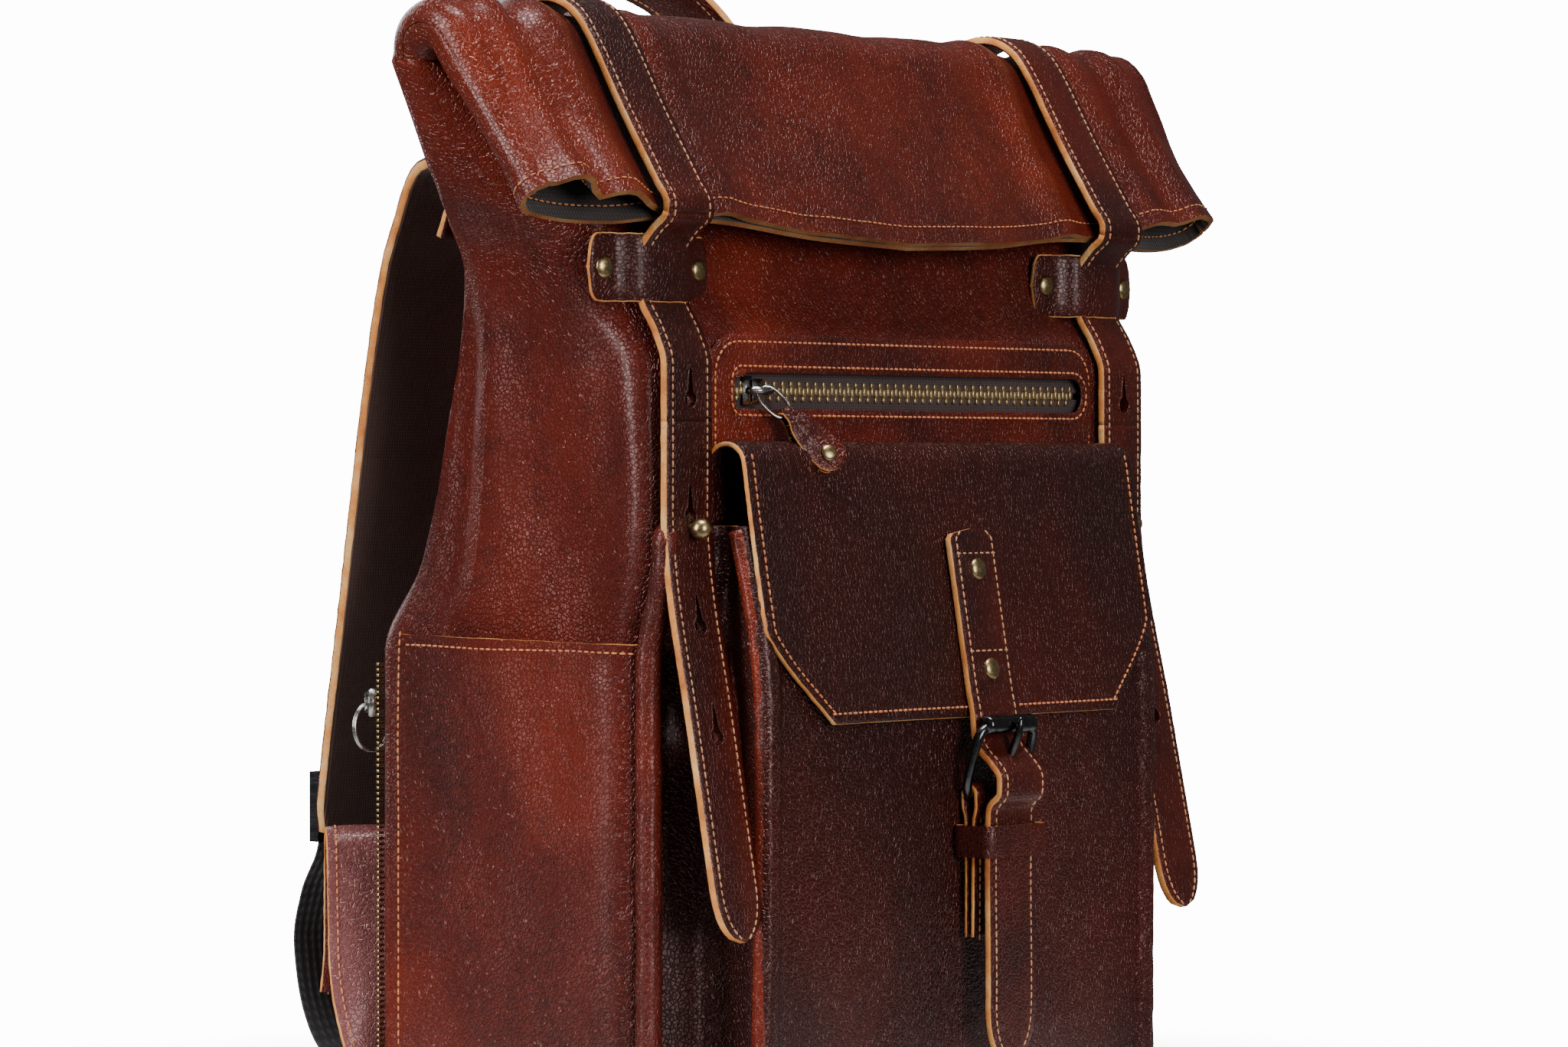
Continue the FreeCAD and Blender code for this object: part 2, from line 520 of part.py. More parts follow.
HANDLE_BASE = "408"
HANDLE_Y = "34"
HANDLE_LEAN = 24
arch = cut("arch",
           cylinder("arch_outside", "handle_half + 3", "handle_width", "0", f"{HANDLE_Y} + handle_width/2",
                    f"{HANDLE_BASE} + 44", "-Y"),
           cylinder("arch_bore", "handle_half - 3", "handle_width", "0", f"{HANDLE_Y} + handle_width/2",
                    f"{HANDLE_BASE} + 44", "-Y"))
arch_room = box("arch_room", "-90", "90", "-20", "90", f"{HANDLE_BASE} + 44", f"{HANDLE_BASE} + 140")
handle_legs = [box(f"handle_leg_{name}", f"{edge} - 3", f"{edge} + 3", f"{HANDLE_Y} - handle_width/2",
                   f"{HANDLE_Y} + handle_width/2",
                   f"{HANDLE_BASE} + 4", f"{HANDLE_BASE} + 44.2") for name,
               edge in (("left", "-handle_half"), ("right", "handle_half"))]
upright_handle = join("upright_handle", common("arch_top", arch, arch_room), *handle_legs)
doc.recompute()
handle = doc.addObject("Part::Feature", "leaning_handle")
handle_shape = upright_handle.Shape.copy()
handle_shape.rotate(vector("0", HANDLE_Y, HANDLE_BASE), FreeCAD.Vector(1, 0, 0), -HANDLE_LEAN)
handle.Shape = handle_shape
keep("grab_handle", handle)
keep("handle_ends", group("handle_end_pair", *[
    slab(f"handle_end_{name}", "YZ", [("28.5", "391.5"), ("20.2", "402.5"), ("28", "404"), ("36", "401")],
         f"{edge} - 12", f"{edge} + 12")
    for name, edge in (("left", "-handle_half"), ("right", "handle_half"))]))

ZIP_BACK = "body_depth/2"
keep("back_zip_teeth",
     box("back_teeth", "-back_zip_x - 2.5", "-back_zip_x + 2.5", f"{ZIP_BACK} + 0.1", f"{ZIP_BACK} + 2", "14",
         "200"))
back_slider = join("back_slider",
                   box("back_slider_plate", "-back_zip_x - 5", "-back_zip_x + 5", f"{ZIP_BACK} + 2.3",
                       f"{ZIP_BACK} + 4", "178", "190"),
                   box("back_slider_lug", "-back_zip_x - 1.2", "-back_zip_x + 1.2", f"{ZIP_BACK} + 3.5",
                       f"{ZIP_BACK} + 9", "181", "187"))
keep("back_zip_slider", cut("back_slider_cut", back_slider,
     cylinder("back_lug_hole", "1.6", "8", "-back_zip_x - 4", f"{ZIP_BACK} + 6.4", "184", "+X")))
ring = doc.addObject("Part::Torus", "ring")
ring.Radius1 = 10
ring.Radius2 = 0.9
keep("back_zip_ring", place(ring, "-back_zip_x", f"{ZIP_BACK} + 6.4", "184 - 10", "-Y"))

# ---- every object is tested before anything is written
doc.recompute()
for thing in doc.Objects:
    if "Invalid" in thing.State or "Error" in thing.State:
        raise RuntimeError(f"{thing.Label} failed: {thing.State}")
for label, thing in nodes.items():
    if thing.Shape.isNull() or not thing.Shape.isValid():
        raise RuntimeError(f"{label} has no valid shape")
os.makedirs("parts", exist_ok=True)
whole = FreeCAD.BoundBox()
for label, thing in sorted(nodes.items()):
    thing.Shape.exportStep(f"parts/{label}.step")
    whole.add(thing.Shape.BoundBox)
print(len(nodes), "sub-parts,", whole)
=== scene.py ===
# %% [markdown]
# A leather roll-top backpack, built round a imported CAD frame. The frame brings every body and joint of the
# bag; this lesson gives the bag its looks. A leather bag is sewn sheet, so almost everything here is a
# sheet that follows a surface or a strap that follows a line, and two helpers make nearly all the shapes.

# %% Load the frame
import json
import math

import bmesh
import bpy
import numpy as np
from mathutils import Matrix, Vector, noise


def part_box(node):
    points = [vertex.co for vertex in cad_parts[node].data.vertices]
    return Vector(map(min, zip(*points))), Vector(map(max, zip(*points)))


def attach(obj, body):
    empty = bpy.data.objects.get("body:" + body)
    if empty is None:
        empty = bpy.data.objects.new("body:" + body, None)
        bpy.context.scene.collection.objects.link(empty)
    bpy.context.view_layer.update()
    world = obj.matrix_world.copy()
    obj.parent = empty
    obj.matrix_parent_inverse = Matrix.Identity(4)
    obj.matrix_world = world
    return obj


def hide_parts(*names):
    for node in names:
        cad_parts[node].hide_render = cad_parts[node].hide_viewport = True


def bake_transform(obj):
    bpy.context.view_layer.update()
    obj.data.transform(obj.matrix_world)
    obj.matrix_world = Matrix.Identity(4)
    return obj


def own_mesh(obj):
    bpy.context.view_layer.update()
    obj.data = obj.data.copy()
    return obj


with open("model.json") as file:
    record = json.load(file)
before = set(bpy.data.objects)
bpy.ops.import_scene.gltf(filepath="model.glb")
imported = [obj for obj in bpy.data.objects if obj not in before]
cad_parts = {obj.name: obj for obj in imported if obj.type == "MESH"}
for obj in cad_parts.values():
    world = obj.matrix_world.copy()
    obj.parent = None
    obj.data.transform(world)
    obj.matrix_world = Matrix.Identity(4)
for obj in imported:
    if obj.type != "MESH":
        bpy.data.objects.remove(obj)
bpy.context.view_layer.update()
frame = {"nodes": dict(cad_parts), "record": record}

MM = 0.001


def span(node):
    """Lowest and highest corner of a CAD node, in millimetres."""
    low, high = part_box(node)
    return np.array(low) / MM, np.array(high) / MM


# %% [markdown]
# The camera is placed first, because it decides which parts need the finest work. It is a long lens from a
# little over two metres, at the front left corner, level with the middle of the bag.

# %% Camera
def new_object(name, data, *materials):
    """An object in the scene, wearing its materials in order."""
    for material in materials:
        data.materials.append(material)
    thing = bpy.data.objects.new(name, data)
    bpy.context.scene.collection.objects.link(thing)
    return thing


camera = new_object("camera", bpy.data.cameras.new("camera"))
camera.location = (-1.753, -1.490, 0.28)
LOOK_AT = Vector((0.009, -0.0107, 0.2575))
camera.rotation_euler = (LOOK_AT - camera.location).to_track_quat("-Z", "Y").to_euler()
camera.data.lens = 124.2
camera.data.sensor_width = 36
bpy.context.scene.camera = camera
print("camera is", round((LOOK_AT - camera.location).length, 2), "m away")

# %% [markdown]
# Soft daylight: a tall soft lamp on the left that draws the long highlights down the side, one overhead for
# the roll, a broad one in front and a weak one behind. Waxed leather only looks waxed when it has something
# bright and broad to mirror, and it turns milky when everything round it is bright. So the white room is
# bright behind the bag and dim as a light, and the pale floor fades into it.

# %% Floor, world and lamps
def lamp(name, place, target, size, watts):
    data = bpy.data.lights.new(name, "AREA")
    data.shape = "RECTANGLE"
    data.size, data.size_y = size
    data.energy = watts
    thing = new_object(name, data)
    thing.location = place
    aim = Vector(target) - Vector(place)
    thing.rotation_euler = aim.to_track_quat("-Z", "Y").to_euler()


lamp("window_left", (-2.3, 0.75, 1.0), (0, 0, 0.3), (0.55, 1.7), 66)
lamp("overhead", (-0.3, -0.3, 2.3), (0, 0, 0.3), (1.0, 0.8), 50)
lamp("front_fill", (-0.9, -2.8, 0.75), (0, 0, 0.25), (1.1, 1.5), 62)
lamp("back_fill", (0.9, 2.3, 1.2), (0, 0, 0.25), (1.4, 1.6), 24)

world = bpy.data.worlds.new("studio")
bpy.context.scene.world = world
world.use_nodes = True
room = world.node_tree.nodes["Background"]
room.inputs["Color"].default_value = (1, 1, 1, 1)
ROOM_LIGHT, BACKDROP = 0.11, 14.0
seen = world.node_tree.nodes.new("ShaderNodeLightPath").outputs["Is Camera Ray"]
level = world.node_tree.nodes.new("ShaderNodeMapRange")
level.inputs["To Min"].default_value, level.inputs["To Max"].default_value = ROOM_LIGHT, BACKDROP
world.node_tree.links.new(seen, level.inputs["Value"])
world.node_tree.links.new(level.outputs["Result"], room.inputs["Strength"])

FLOOR_HALF = 2.0
floor_mesh = bpy.data.meshes.new("floor")
floor_mesh.from_pydata([(-FLOOR_HALF, -FLOOR_HALF, 0), (FLOOR_HALF, -FLOOR_HALF, 0),
                        (FLOOR_HALF, FLOOR_HALF, 0), (-FLOOR_HALF, FLOOR_HALF, 0)], [], [(0, 1, 2, 3)])
new_object("floor", floor_mesh)

# %% [markdown]
# Finishes come before shapes. A small wiring helper keeps each material short: it makes a node, sets its
# inputs by name and joins sockets. Every pattern reads Object coordinates, so its scale is in metres.

# %% Wiring helper
class Wiring:
    """Nodes of one material, made and joined by name."""

    def __init__(self, name):
        self.material = bpy.data.materials.new(name)
        self.material.use_nodes = True
        self.nodes = self.material.node_tree.nodes
        self.links = self.material.node_tree.links
        self.shader = self.nodes["Principled BSDF"]
        self.place = self.nodes.new("ShaderNodeTexCoord").outputs["Object"]

    def node(self, kind, settings=None, **inputs):
        made = self.nodes.new("ShaderNode" + kind)
        for key, value in (settings or {}).items():
            setattr(made, key, value)
        for key, value in inputs.items():
            self.put(made.inputs[key.replace("_", " ")], value)
        return made

    def put(self, socket, value):
        if isinstance(value, bpy.types.NodeSocket):
            self.links.new(value, socket)
        else:
            socket.default_value = value

    def stretched(self, scale):
        """Object coordinates, scaled differently along each axis."""
        return self.node("Mapping", Vector=self.place, Scale=scale).outputs["Vector"]

    def clouds(self, scale, detail=4, rough=0.55, place=None, twist=0):
        return self.node("TexNoise", Vector=place or self.place, Scale=scale, Detail=detail,
                         Roughness=rough, Distortion=twist).outputs["Fac"]

    def ramp(self, factor, *stops):
        """A colour ramp from (position, colour) stops."""
        made = self.node("ValToRGB", Fac=factor)
        band = made.color_ramp
        while len(band.elements) < len(stops):
            band.elements.new(0.5)
        for element, (position, colour) in zip(band.elements, stops):
            element.position = position
            element.color = (*colour, 1)
        return made.outputs["Color"]

    def spread(self, factor, low, high, start=0.3, end=0.7):
        """A number that goes from low to high as factor goes from start to end."""
        names = {"From_Min": start, "From_Max": end, "To_Min": low, "To_Max": high}
        return self.node("MapRange", Value=factor, **names).outputs["Result"]

    def mix(self, amount, first, second, blend="MIX"):
        made = self.node("MixRGB", {"blend_type": blend}, Fac=amount)
        self.put(made.inputs["Color1"], first)
        self.put(made.inputs["Color2"], second)
        return made.outputs["Color"]

    def bump(self, height, depth, strength=1.0, below=None):
        made = self.node("Bump", Height=height, Distance=depth, Strength=strength)
        if below is not None:
            self.links.new(below, made.inputs["Normal"])
        return made.outputs["Normal"]

    def finish(self, **inputs):
        for key, value in inputs.items():
            self.put(self.shader.inputs[key.replace("_", " ")], value)
        return self.material


print("materials wire themselves up by name")

# %% [markdown]
# Waxed pull-up leather: oil and wax sit in the hide, and where it is bent or rubbed they move away and the
# colour turns lighter and redder. So the colour is three tones under slow clouds, with fine mottling on
# top. The surface has a pebbled grain of about a millimetre, made from the cell borders of a Voronoi
# pattern, and soft creases above it. Gloss varies too: rubbed patches shine more.

# %% Waxed leather
def waxed_leather(name, deep, middle, bright, grain=1.0, low_gloss=0.40, high_gloss=0.25, cloud=9.0,
                  lean=0.0):
    """Deep, middle and bright are the hide's three tones; lean shifts the balance towards the bright one."""
    hide = Wiring(name)
    slow = hide.clouds(cloud, detail=3, rough=0.5, place=hide.stretched((1, 1, 0.6)), twist=0.4)
    mottle = hide.clouds(70, detail=5, rough=0.65)
    tones = hide.ramp(slow, (0.32 - lean, deep), (0.5 - lean, middle), (0.72 - lean, bright))
    dark = tuple(0.55 * c for c in deep)
    colour = hide.mix(hide.spread(mottle, 0.0, 0.55, 0.52, 0.75), tones, (*dark, 1))
    fleck = hide.clouds(420, detail=2, rough=0.5)
    colour = hide.mix(hide.spread(fleck, 0.0, 0.22, 0.45, 0.7), colour, (*bright, 1))
    pebble_place = hide.mix(0.0016, hide.place,
                            hide.node("TexNoise", Vector=hide.place, Scale=300).outputs["Color"])
    cells = hide.node("TexVoronoi", {"feature": "DISTANCE_TO_EDGE"}, Vector=pebble_place,
                      Scale=540).outputs["Distance"]
    pebbles = hide.spread(cells, 0.0, 1.0, 0.0, 0.16)
    creases = hide.clouds(55, detail=6, rough=0.7, place=hide.stretched((1, 1, 0.45)), twist=1.2)
    soft = hide.bump(creases, 0.0020, 0.34)
    normal = hide.bump(pebbles, 0.00048 * grain, 0.7, below=soft)
    normal = hide.bump(hide.clouds(1500, detail=2), 0.00012, 0.35, below=normal)
    gloss = hide.spread(slow, low_gloss, high_gloss, 0.3, 0.7)
    return hide.finish(Base_Color=colour, Roughness=gloss, Normal=normal, Coat_Weight=0.12,
                       Coat_Roughness=0.22,
                       IOR=1.5, Specular_Tint=(1.0, 0.58, 0.54, 1))


FINISH = {}
HIDES = {
    "side": ((0.018, 0.0022, 0.0018), (0.072, 0.0058, 0.0030), (0.175, 0.0165, 0.0060),
             {"grain": 1.3, "lean": 0.03}),
    "front": ((0.008, 0.0016, 0.0014), (0.024, 0.0030, 0.0021), (0.060, 0.0062, 0.0031), {"grain": 1.2}),
    "mouth": ((0.014, 0.0026, 0.0022), (0.052, 0.0056, 0.0032), (0.155, 0.0165, 0.0058), {"grain": 0.7}),
    "flap": ((0.009, 0.0016, 0.0014), (0.023, 0.0029, 0.0021), (0.054, 0.0056, 0.0030), {"grain": 0.75}),
    "strap": ((0.012, 0.0024, 0.0020), (0.036, 0.0046, 0.0030), (0.084, 0.0095, 0.0044),
              {"grain": 0.55, "cloud": 16}),
    # The loop's pale pink tones are a painted sheen: the lamps' pinkish highlight on the loop is put into its
    # colour.
    "loop": ((0.070, 0.016, 0.014), (0.15, 0.045, 0.042), (0.25, 0.10, 0.10),
             {"low_gloss": 0.3, "high_gloss": 0.2}),
    "welt": ((0.024, 0.0030, 0.0022), (0.080, 0.0076, 0.0038), (0.17, 0.017, 0.0058),
             {"grain": 0.7, "cloud": 14}),
}
for part, (deep, middle, bright, look) in HIDES.items():
    FINISH["leather_" + part] = waxed_leather(part + "_hide", deep, middle, bright, **look)
print("seven cuts of one hide")

# %% [markdown]
# A cut edge shows the undyed middle of the hide: tan, fibrous and a little ragged. Its colour wanders
# between orange and straw, darker where dye has soaked in.

# %% Raw edge
def raw_edge(name, shade=1.0):
    edge = Wiring(name)
    fibre = edge.clouds(900, detail=5, rough=0.75)
    tone = edge.clouds(60, detail=3)
    colour = edge.ramp(tone, (0.3, (0.46, 0.125, 0.020)), (0.5, (0.74, 0.285, 0.062)),
                       (0.68, (0.86, 0.47, 0.17)))
    colour = edge.mix(edge.spread(fibre, 0.0, 0.6, 0.5, 0.8), colour, (0.16, 0.035, 0.010, 1))
    colour = edge.mix(1.0 - shade, colour, (0.05, 0.010, 0.004, 1))
    normal = edge.bump(fibre, 0.0005, 0.9)
    return edge.finish(Base_Color=colour, Roughness=0.85, Normal=normal)


FINISH["leather_edge"] = raw_edge("raw_tan_edge")
# The hem's cut edge is mixed 65% towards a dark brown, so it reads darker than the other cut edges.
FINISH["hem_edge"] = raw_edge("darker_hem_edge", 0.35)
print("raw edge done")

# %% [markdown]
# The threads are waxed cord, cream on the straps and orange on the body. A twist shows as fine diagonal
# bands.

# %% Threads
def thread(name, light, dark):
    cord = Wiring(name)
    bands = cord.node("TexWave", {"bands_direction": "DIAGONAL"}, Vector=cord.place, Scale=900,
                      Distortion=2.0).outputs["Fac"]
    wear = cord.clouds(130, detail=3)
    colour = cord.mix(cord.spread(bands, 0.0, 0.45), (*light, 1), (*dark, 1))
    colour = cord.mix(cord.spread(wear, 0.0, 0.6, 0.45, 0.7), colour, (*dark, 1))
    return cord.finish(Base_Color=colour, Roughness=0.55, Normal=cord.bump(bands, 0.0002, 0.5),
                       Sheen_Weight=0.2)


FINISH["thread_light"] = thread("cream_thread", (0.74, 0.36, 0.17), (0.40, 0.11, 0.035))
FINISH["thread_orange"] = thread("orange_thread", (0.84, 0.28, 0.08), (0.42, 0.08, 0.02))
print("two threads")

# %% [markdown]
# Cloth is a weave: two sets of bands at right angles, one the bump's hills and the other its gaps. The
# lining, the zip tape and the webbing differ in thread count, colour and how far the weave stands out.

# %% Woven cloths
def woven(name, colour, pale, count, depth):
    """count is threads in a metre, and depth is how far the weave stands out."""
    cloth = Wiring(name)
    where = cloth.stretched((1, 1, 1))
    sets = [cloth.node("TexWave", {"bands_direction": axis}, Vector=where, Scale=count / 6.283,
                       Distortion=0.6, Detail=1.0).outputs["Fac"] for axis in "XZ"]
    weave = cloth.mix(0.5, sets[0], sets[1], "MULTIPLY")
    stain = cloth.clouds(25, detail=4)
    blend = cloth.mix(cloth.spread(weave, 0.0, 0.5), (*colour, 1), (*pale, 1))
    blend = cloth.mix(cloth.spread(stain, 0.0, 0.35), blend, tuple(0.5 * c for c in colour) + (1,))
    folds = cloth.bump(cloth.clouds(28, detail=4, twist=0.8), 0.003, 0.4)
    return cloth.finish(Base_Color=blend, Roughness=0.8, Normal=cloth.bump(weave, depth, 0.8, below=folds),
                        Sheen_Weight=0.3, Sheen_Roughness=0.5)


CLOTHS = {
    "strap_lining": ("strap_lining_cloth", (0.075, 0.034, 0.024), (0.16, 0.080, 0.058), 1500, 0.0003),
    "lining_fabric": ("lining_cloth", (0.020, 0.013, 0.011), (0.045, 0.030, 0.026), 1200, 0.0003),
    "zip_tape": ("zip_tape_cloth", (0.026, 0.009, 0.010), (0.090, 0.034, 0.036), 1900, 0.0003),
    "webbing": ("webbing_cloth", (0.006, 0.006, 0.007), (0.040, 0.038, 0.044), 480, 0.0009),
}
for slot, look in CLOTHS.items():
    FINISH[slot] = woven(*look)
print("four cloths")

# %% [markdown]
# Metal parts have five platings: antique brass, dark in its hollows and rubbed bright on top; a cleaner
# brass for the zip's teeth; polished dark gunmetal on the buckle; plain nickel on the slider and rings; and
# black on the adjusters. Each gets faint scratches in its gloss.

# %% Plated metals
def plated(name, colour, tarnish, rough, tarnish_amount=0.6):
    metal = Wiring(name)
    patches = metal.clouds(180, detail=5, rough=0.7)
    scratches = metal.clouds(900, detail=2, place=metal.stretched((1, 0.15, 1)))
    tint = metal.mix(metal.spread(patches, 0.0, tarnish_amount, 0.4, 0.65), (*colour, 1), (*tarnish, 1))
    gloss = metal.spread(scratches, rough, rough + 0.16, 0.4, 0.7)
    normal = metal.bump(patches, 0.0002, 0.3)
    return metal.finish(Base_Color=tint, Metallic=1.0, Roughness=gloss, Normal=normal)


PLATINGS = {
    "antique_brass": ("antique_brass_plating", (0.50, 0.36, 0.17), (0.15, 0.105, 0.062), 0.27),
    "zip_brass": ("zip_brass_plating", (0.74, 0.55, 0.29), (0.30, 0.20, 0.10), 0.34, 0.4),
    "buckle_metal": ("gunmetal_plating", (0.085, 0.085, 0.090), (0.03, 0.03, 0.032), 0.14, 0.4),
    "slider_metal": ("nickel_plating", (0.50, 0.49, 0.47), (0.24, 0.23, 0.21), 0.20, 0.4),
    "adjuster_metal": ("black_plating", (0.045, 0.045, 0.048), (0.02, 0.02, 0.02), 0.3, 0.3),
}
for slot, look in PLATINGS.items():
    FINISH[slot] = plated(*look)
print("five platings")

# %% Foam, bag board and floor paint
def plain_grained(name, colour, scale, rough):
    stuff = Wiring(name)
    grain = stuff.clouds(scale, detail=4)
    tint = stuff.mix(stuff.spread(grain, 0.0, 0.4), (*colour, 1), tuple(0.6 * c for c in colour) + (1,))
    return stuff.finish(Base_Color=tint, Roughness=rough, Normal=stuff.bump(grain, 0.0004, 0.5))


FINISH["foam"] = plain_grained("foam_sheet", (0.18, 0.18, 0.19), 600, 0.9)
FINISH["stiffener"] = plain_grained("bag_board", (0.07, 0.065, 0.06), 250, 0.7)
floor_paint = plain_grained("floor_paint", (0.86, 0.86, 0.87), 3, 0.6)
floor_mesh.materials.append(floor_paint)
paint = floor_paint.node_tree
distance = paint.nodes.new("ShaderNodeVectorMath")
distance.operation = "LENGTH"
place = paint.nodes.new("ShaderNodeTexCoord")
paint.links.new(place.outputs["Object"], distance.inputs[0])
fade = paint.nodes.new("ShaderNodeMapRange")
fade.inputs["From Min"].default_value, fade.inputs["From Max"].default_value = 0.22, 0.5
fade.inputs["To Min"].default_value, fade.inputs["To Max"].default_value = 1.0, 0.0
fade.interpolation_type = "SMOOTHSTEP"
paint.links.new(distance.outputs["Value"], fade.inputs["Value"])
paint.links.new(fade.outputs["Result"], paint.nodes["Principled BSDF"].inputs["Alpha"])
SLOTS = {part["node"]: part["material_slot"] for part in frame["record"]["subparts"]}
for node_name, thing in frame["nodes"].items():
    thing.data.materials.clear()
    thing.data.materials.append(FINISH[SLOTS[node_name]])
print("every CAD node wears its finish")

# %% [markdown]
# Now the two shape helpers. The first, glide, reads a smooth value between given ones without
# overshooting, which is how a pattern cutter thinks: so wide here, so deep there. The second, skin, turns a
# grid of points into a sheet of leather with two faces and cut edges.

# %% Smooth values and smooth lines
def glide(x, marks, values):
    """Smooth values through given marks, never overshooting them."""
    x, marks, values = np.asarray(x, float), np.array(marks, float), np.array(values, float)
    steps = np.diff(values) / np.diff(marks)
    both = steps[1:] * steps[:-1]
    inner = np.where(both > 0, 2 * both / np.where(both > 0, steps[1:] + steps[:-1], 1), 0)
    slopes = np.concatenate(([steps[0]], inner, [steps[-1]]))
    i = np.clip(np.searchsorted(marks, x) - 1, 0, len(marks) - 2)
    width = marks[i + 1] - marks[i]
    t = np.clip((x - marks[i]) / width, 0, 1)
    return (values[i] * (1 + 2 * t) * (1 - t) ** 2 + width * slopes[i] * t * (1 - t) ** 2
            + values[i + 1] * t * t * (3 - 2 * t) - width * slopes[i + 1] * t * t * (1 - t))


def line_through(points, step):
    """Evenly spaced points on a smooth line through given ones."""
    points = np.array(points, float)
    marks = along_line(points)
    fine = np.linspace(0, marks[-1], max(3, int(marks[-1] / step * 4)))
    rough = np.stack([glide(fine, marks, points[:, k]) for k in range(3)], axis=1)
    lengths = along_line(rough)
    even = np.linspace(0, lengths[-1], max(3, int(round(lengths[-1] / step)) + 1))
    return np.stack([np.interp(even, lengths, rough[:, k]) for k in range(3)], axis=1)


def unit(vectors):
    return vectors / np.maximum(np.linalg.norm(vectors, axis=-1, keepdims=True), 1e-9)


def along_line(points):
    """Distance of each point from the first one, measured along the line."""
    return np.concatenate(([0], np.cumsum(np.linalg.norm(np.diff(points, axis=0), axis=1))))


def wander(points, size, seed, stretch=(1, 1, 1)):
    """Smooth noise from -1 to 1 at each point; size is the width of its lumps in millimetres."""
    flat = points.reshape(-1, 3) / size / np.array(stretch)
    values = [noise.noise(Vector(p) + Vector((seed * 7.3, seed * 3.1, seed * 5.7))) for p in flat]
    return np.array(values).reshape(points.shape[:-1])


def hill(x, middle, width):
    return np.exp(-((x - middle) / width) ** 2)


print("helpers for smooth shapes")

# %% Sheet of leather from a grid
def mesh_of(name, points, faces):
    """A mesh from points in millimetres."""
    mesh = bpy.data.meshes.new(name)
    mesh.from_pydata([tuple(p) for p in np.asarray(points, float).reshape(-1, 3) * MM], [], faces)
    return mesh


def grid_normals(grid, closed):
    """Unit normals of a grid of points; closed means that each row is a loop."""
    along = np.gradient(grid, axis=0)
    if closed:
        across = np.roll(grid, -1, axis=1) - np.roll(grid, 1, axis=1)
    else:
        across = np.gradient(grid, axis=1)
    return unit(np.cross(across, along))


def skin(name, grid, thick, materials, closed=False, normals=None, floor_rows=False):
    """A sheet: the grid is its outer face, and thick is a number or one for each point. Materials are the
    outer face, the inner face and the cut edge. floor_rows closes the first row of a bag-shaped sheet."""
    rows, columns = grid.shape[:2]
    normals = grid_normals(grid, closed) if normals is None else normals
    thickness = np.broadcast_to(np.asarray(thick, float), (rows, columns))[..., None]
    inner = grid - normals * thickness
    points = np.concatenate((grid.reshape(-1, 3), inner.reshape(-1, 3)))
    half = rows * columns
    faces, kinds = [], []
    flat = normals.reshape(-1, 3)

    def add(face, kind):
        faces.append(face)
        kinds.append(kind)

    wrap = columns if closed else columns - 1
    for r in range(rows - 1):
        for c in range(wrap):
            a, b = r * columns + c, r * columns + (c + 1) % columns
            add((a, b, b + columns, a + columns), 0)
            add((half + a, half + a + columns, half + b + columns, half + b), 1)
    for r, flip in ((0, True), (rows - 1, False)):
        if r == 0 and floor_rows:
            add(tuple(range(columns - 1, -1, -1)), 0)
            add(tuple(half + c for c in range(columns)), 1)
            continue
        for c in range(wrap):
            a, b = r * columns + c, r * columns + (c + 1) % columns
            add((a, half + a, half + b, b) if flip else (a, b, half + b, half + a), 2)
    if not closed:
        for c, flip in ((0, False), (columns - 1, True)):
            for r in range(rows - 1):
                a, b = r * columns + c, (r + 1) * columns + c
                add((a, half + a, half + b, b) if not flip else (a, b, half + b, half + a), 2)
    mesh = mesh_of(name, points, faces)
    mesh.polygons.foreach_set("material_index", kinds)
    mesh.polygons.foreach_set("use_smooth", [kind != 2 for kind in kinds])
    thing = new_object(name, mesh, *materials)
    if not floor_rows:
        loop_normals = []
        for polygon, kind in zip(mesh.polygons, kinds):
            for vertex in polygon.vertices:
                if kind == 2:
                    loop_normals.append(tuple(polygon.normal))
                else:
                    way = flat[vertex % half]
                    loop_normals.append(tuple(way if kind == 0 else -way))
        mesh.normals_split_custom_set(loop_normals)
    return thing


print("skin() makes sheets")

# %% [markdown]
# A strap is a line with a width. Its section is two layers of leather: flat faces, a shallow channel where
# the stitches pull it in, and a raw edge that bulges a little. band() carries that section along the line,
# and can narrow it to a rounded point. rows_beside() gives the lines that stitches follow on it.

# %% Straps and cords from a line
def frame_along(line, side):
    """Tangent, side and outward directions at each point of a line."""
    tangent = unit(np.gradient(line, axis=0))
    side = np.broadcast_to(np.array(side, float), line.shape)
    out = unit(np.cross(tangent, side))
    return tangent, unit(np.cross(out, tangent)), out


